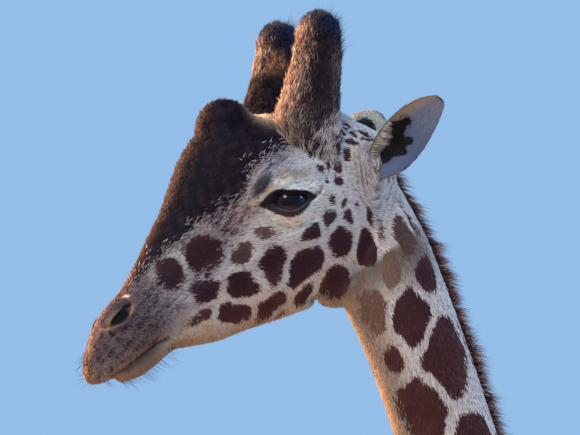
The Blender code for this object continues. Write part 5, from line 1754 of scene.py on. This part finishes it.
for side_name, side in SIDES.items():
    rng = np.random.default_rng(61 if side > 0 else 62)
    t = np.concatenate([np.linspace(EAR_SUNK, 0.85, 90), np.linspace(0.86, 1.0, 24)])[:, None]
    q = np.sin(np.linspace(-1, 1, 60) * math.pi / 2)[None]
    thick = 0.0016 + 0.0035 * (1 - ramp(0.0, 0.5, t)) * (1 - q * q)
    hollow = through([-0.22, 0, 0.16, 0.3], [0.0, 0.0, 0.8, 1.0], t)
    outer = ear_point(side_name, side, t, q, -thick)
    inner = ear_point(side_name, side, t, q[:, -2:0:-1], np.zeros(1))
    filled = (1 - hollow)[..., None] * 0.016 * ear_frame(side_name, side)[3]
    rings = np.concatenate([outer, inner + filled * (1 - q[:, -2:0:-1] ** 2)[..., None]], axis=1)
    leaf, _ = closed_piece(f"ear_leaf_{side_name}", rings, ear_skin)
    grid = rings.shape[:2]
    round_q = np.concatenate([q, q[:, -2:0:-1]], axis=1)
    on_inner = np.broadcast_to(np.arange(grid[1]) >= q.shape[1], grid).ravel()
    leaf_t = np.append(np.broadcast_to(t, grid).ravel(), [t.min(), 1.0])
    leaf_q = np.append(np.broadcast_to(round_q, grid).ravel(), [0.0, 0.0])
    on_inner = np.append(on_inner, [False, False])
    give(leaf, "leaf", "FLOAT_COLOR", ear_colours(leaf_t, leaf_q, on_inner))
    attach(leaf, "root")
    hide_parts(f"ear_{side_name}")

    root, length, along, face, across = ear_frame(side_name, side)
    count = 12000
    is_inner = rng.random(count) < 0.6
    t, q = rng.uniform(0.0, 0.985, count), rng.uniform(-0.97, 0.97, count)
    roots = ear_point(side_name, side, t, q, np.where(is_inner, -0.0003, -0.0016))
    up_face = np.where(is_inner, 1.0, -1.0)[:, None] * face
    ways = along * 0.95 + 0.25 * np.sign(q)[:, None] * np.abs(q)[:, None] * across + 0.16 * up_face
    ways = ways + rng.normal(0, 0.12, (count, 3))
    length_of = (0.0055 + 0.0020 * rng.random(count)) * (1 - 0.5 * ramp(0.75, 0.95, t))
    locks(f"ear_hair_{side_name}", roots, ways, -0.12 * up_face, (length_of, 0.0013),
          ear_colours(t, q, is_inner, rng), ear_uv(t, q, is_inner), rings=1)

    # the front edge's long hairs gather into spikes over the black band, and others fill the cup
    count = 2200
    front = rng.random(count) < 0.62
    t = np.where(front, rng.uniform(0.02, 0.44, count), rng.uniform(0.05, 0.58, count))
    at_edge, in_cup = rng.uniform(0.68, 0.98, count), rng.normal(0, 0.15, count)
    q = np.clip(np.where(front, at_edge, in_cup + 1.5 * (t - 0.25)), -0.6, 0.98)
    roots = ear_point(side_name, side, t, q, np.full(count, -0.0003))
    clump = np.floor(t * CLUMPS)
    reach = rng.uniform(0.013, 0.035, CLUMPS)[clump.astype(int)] * (1 - 0.75 * ramp(0.26, 0.46, t))
    aim = ear_point(side_name, side, (clump + 0.5) / CLUMPS, np.full(count, 0.80), np.zeros(count))
    aim = aim + reach[:, None] * (-0.70 * across + 0.60 * along + 0.30 * face)
    ways = np.where(front[:, None], aim - roots, 0.014 * (0.90 * along + 0.25 * face))
    length_of = np.linalg.norm(ways, axis=1) * rng.uniform(0.70, 1.05, count)
    ways = unit(ways) + rng.normal(0, 0.05, (count, 3))
    bends = np.where(front[:, None], -0.12 * face, -0.10 * face)
    cream = tint(["#e6dccb", "#cbbfaa", "#f4ecdd", "#a39683"], rng, count)
    black = ear_colours(t, q, np.full(count, True), rng)
    locks(f"ear_fringe_{side_name}", roots, ways, bends, (length_of, 0.0012),
          np.where(front[:, None], cream, black), ear_uv(t, q, True), rings=2)

# ---------------------------------------------------------------- the mane
# A stiff upright brush of red-brown hair along the nape, from the poll to the withers. Its hairs
# grow from a narrow strip of hide and lean a little down the neck.
MANE_HALF = 0.011  # half the width of the strip
mane_rng = np.random.default_rng(71)
tops = np.array(NECK, float)
count = 12000
fine = np.arange(count) < 7500
t = np.where(fine, mane_rng.uniform(1.85, 2.585, count), mane_rng.uniform(0.42, 1.87, count))
x = MANE_HALF * np.clip(mane_rng.normal(0, 0.5, count), -1, 1)
level = through(tops[:, 0], tops[:, 1], t) - 0.006
roots = NECK_ROOT + t[:, None] * ALONG_NECK + level[:, None] * NAPE_SIDE + x[:, None] * OUT
tall = through([0.42, 0.62, 1.20, 2.20, 2.50, 2.60], [0.014, 0.030, 0.033, 0.029, 0.033, 0.028], t)
clumps = wobble(roots * [0.2, 1, 1], 0.015)
ways = NAPE_SIDE - (0.30 + 0.12 * clumps[:, :1]) * ALONG_NECK + 22 * x[:, None] * OUT
ways = ways + mane_rng.normal(0, 0.15, (count, 3)) + 0.07 * clumps
bends = -0.28 * ALONG_NECK + mane_rng.normal(0, 0.06, (count, 3))
length = tall * mane_rng.uniform(0.50, 1.25, count) * (1 + 0.20 * clumps[:, 1])
width = np.where(fine, 0.0015, 0.0032)
colours = tint(["#7d4638", "#95604f", "#5c342e", "#ae7c69", "#3d2224"], mane_rng, count, 0.2)
mane = locks("mane_hair", roots, ways, bends, (length, width), colours,
             unwrap_neck(roots), tips=(0.45, 0.95, 1.35))
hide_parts("mane")

# ---------------------------------------------------------------- the tail
# A thin hairy dock, which ends in a long hanging tuft of coarse black hair.
TAIL = [  # level, rear edge, front edge, half width
    (2.545, 1.395, 1.290, 0.050), (2.500, 1.440, 1.320, 0.048), (2.430, 1.476, 1.375, 0.044),
    (2.330, 1.486, 1.408, 0.038), (2.150, 1.478, 1.414, 0.031), (1.900, 1.463, 1.411, 0.025),
    (1.600, 1.450, 1.412, 0.018), (1.440, 1.444, 1.416, 0.013),
]
TUFT_END = 0.80  # the level of the tuft's lowest hairs
TUFT_MIDDLE = 1.431  # where its hairs' roots centre, from front to rear
stations = [(-z, rear, front, (rear + front) / 2, 0.93 * half) for z, rear, front, half in TAIL]
rings = loft((0, 0, 0), (0, 0, -1), (0, 1, 0), stations, (0.03, 0.02), (2.1, 2.1), (0, 0), (70, 36))
dock, points = closed_piece("dock", rings, hide)
marked(dock, points)
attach(dock, "root")
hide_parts("tail_dock")

tail_rng = np.random.default_rng(81)


def tail_uv(z, turn):
    """Up the tail and round it."""
    return np.stack([z / 3, turn / (2 * math.pi)], axis=1)


def level_ways(turn):
    """(cos f, sin f, 0) for each turn f about the upright."""
    return np.stack([np.cos(turn), np.sin(turn), np.zeros(len(turn))], axis=1)


count = 5200
z, turn = tail_rng.uniform(1.45, 2.56, count), tail_rng.uniform(0, 2 * math.pi, count)
rows = np.array(TAIL)[::-1]
rear, front, half = (through(rows[:, 0], rows[:, k], z) for k in (1, 2, 3))
middle, deep = (rear + front) / 2, (rear - front) / 2
outward = level_ways(turn)
roots = np.stack([0.92 * half * np.cos(turn), middle + 0.97 * deep * np.sin(turn), z], axis=1)
ways = np.array([0, 0, -1.0]) + 0.14 * outward + tail_rng.normal(0, 0.08, (count, 3))
locks("dock_hair", roots, ways, -0.05 * outward, (0.020, 0.0045),
      coloured_hairs(roots, tail_rng), tail_uv(z, turn), rings=1)

count = 1500
z = tail_rng.uniform(1.36, 1.60, count)
turn = tail_rng.uniform(0, 2 * math.pi, count)
spread = 0.010 + 0.004 * tail_rng.random(count)
outward = level_ways(turn)
roots = np.stack([spread * np.cos(turn), TUFT_MIDDLE + spread * np.sin(turn), z], axis=1)
length = np.minimum(tail_rng.uniform(0.40, 0.76, count), z - TUFT_END)
ways = np.array([0, 0, -1.0]) + outward * tail_rng.uniform(0.04, 0.16, (count, 1))
ways = ways + tail_rng.normal(0, 0.015, (count, 3))
bends = -outward * tail_rng.uniform(0.06, 0.15, (count, 1))
tuft = locks("tail_tuft_hair", roots, ways, bends, (length, 0.0042),
             tint(["#0e0c0d", "#1a1616", "#241c1a"], tail_rng, count), tail_uv(z, turn), rings=6)
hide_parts("tail_tuft")

# ---------------------------------------------------------------- the hooves
# Two big toes of dark horn on each foot, split down the middle and worn smooth, ringed where
# they grow from the coronet.
HOOF_VOXEL = 0.005
CLEFT = [(-0.0075, -0.20), (0.0075, -0.20), (0.002, 0.20), (-0.002, 0.20)]

# Hoof horn: smooth keratin, dull from wear, with growth rings 6 mm apart and paler dusty soles.
horn = new_material("hoof_horn", Roughness=0.42, Specular_IOR_Level=0.4)
place = node(horn, "ShaderNodeTexCoord").outputs["Object"]
split = node(horn, "ShaderNodeSeparateXYZ", [(0, place)])
cloud = node(horn, "ShaderNodeTexNoise", [("Vector", place)], in_2=30.0, in_3=3.0).outputs[0]
height = node(horn, "ShaderNodeMath", [(0, cloud), (2, split.outputs[2])], operation="MULTIPLY_ADD",
              in_1=0.02)
rings_of = node(horn, "ShaderNodeMath", [(0, height.outputs[0])], operation="MULTIPLY",
                in_1=2 * math.pi / 0.006)
rings_of = node(horn, "ShaderNodeMath", [(0, rings_of.outputs[0])], operation="SINE")
tone = node(horn, "ShaderNodeValToRGB", [(0, height.outputs[0])])
tone.color_ramp.elements[0].position, tone.color_ramp.elements[0].color = 0.005, linear("#6a5c4e")
tone.color_ramp.elements[1].position, tone.color_ramp.elements[1].color = 0.045, linear("#2e2723")
into_shader(horn, "Base Color", tone.outputs[0])
bump = node(horn, "ShaderNodeBump", [("Height", rings_of.outputs[0])], in_0=0.35, in_1=0.0008)
into_shader(horn, "Normal", bump.outputs[0])


def wedge(place):
    """The air between two toes, widest in front, as a closed cutter."""
    rings = np.array([[place + np.array([x, y, z]) for x, y in CLEFT] for z in (-0.03, 0.20)])
    points, quads, fans = closed(rings)
    return mesh_object("wedge", points, [quads, fans], None, smooth=False)


for name, (_, side, _) in LEGS.items():
    place = foot_place(name)
    low_rows = leg(name, (220, 40))
    low_rows = low_rows[low_rows[:, :, 2].mean(axis=1) < 0.24]
    foot = grown("foot", [low_rows], HOOF_VOXEL, 6)
    mesh = bmesh.new()
    mesh.from_mesh(foot.data)
    coronet = Vector(place) + Vector((0, 0, CORONET - 0.0008))
    for point, normal in ((coronet, CORONET_FALL), (Vector((0, 0, 0)), (0, 0, -1))):
        whole = [*mesh.verts, *mesh.edges, *mesh.faces]
        bmesh.ops.bisect_plane(mesh, geom=whole, plane_co=point, plane_no=normal, clear_outer=True)
        rim = [edge for edge in mesh.edges if edge.is_boundary]
        bmesh.ops.triangle_fill(mesh, edges=rim, use_beauty=True)
    bmesh.ops.recalc_face_normals(mesh, faces=mesh.faces)
    mesh.to_mesh(foot.data)
    mesh.free()
    cutter = wedge(place)
    with_modifiers(foot, ("BOOLEAN", {"operation": "DIFFERENCE", "object": cutter}))
    drop(cutter)
    for toe in ("outer", "inner"):
        away_from = side if toe == "outer" else -side
        mesh = bmesh.new()
        mesh.from_mesh(foot.data)
        gone = [v for v in mesh.verts if (v.co.x - place[0]) * away_from < 0]
        bmesh.ops.delete(mesh, geom=gone)
        data = bpy.data.meshes.new(f"horn_{toe}_{name}")
        mesh.to_mesh(data)
        mesh.free()
        piece = bpy.data.objects.new(f"horn_{toe}_{name}", data)
        bpy.context.scene.collection.objects.link(piece)
        data.materials.clear()
        data.materials.append(horn)
        data.set_sharp_from_angle(angle=math.radians(40))
        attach(piece, "root")
        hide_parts(f"hoof_{toe}_{name}")
    drop(foot)

# ---------------------------------------------------------------- size and end
# The box of the solids, taken before anything was added, and that of the finished pieces.
size = {"cad": [list(corner) for corner in CAD_BOX], "visual": [list(c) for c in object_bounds()]}
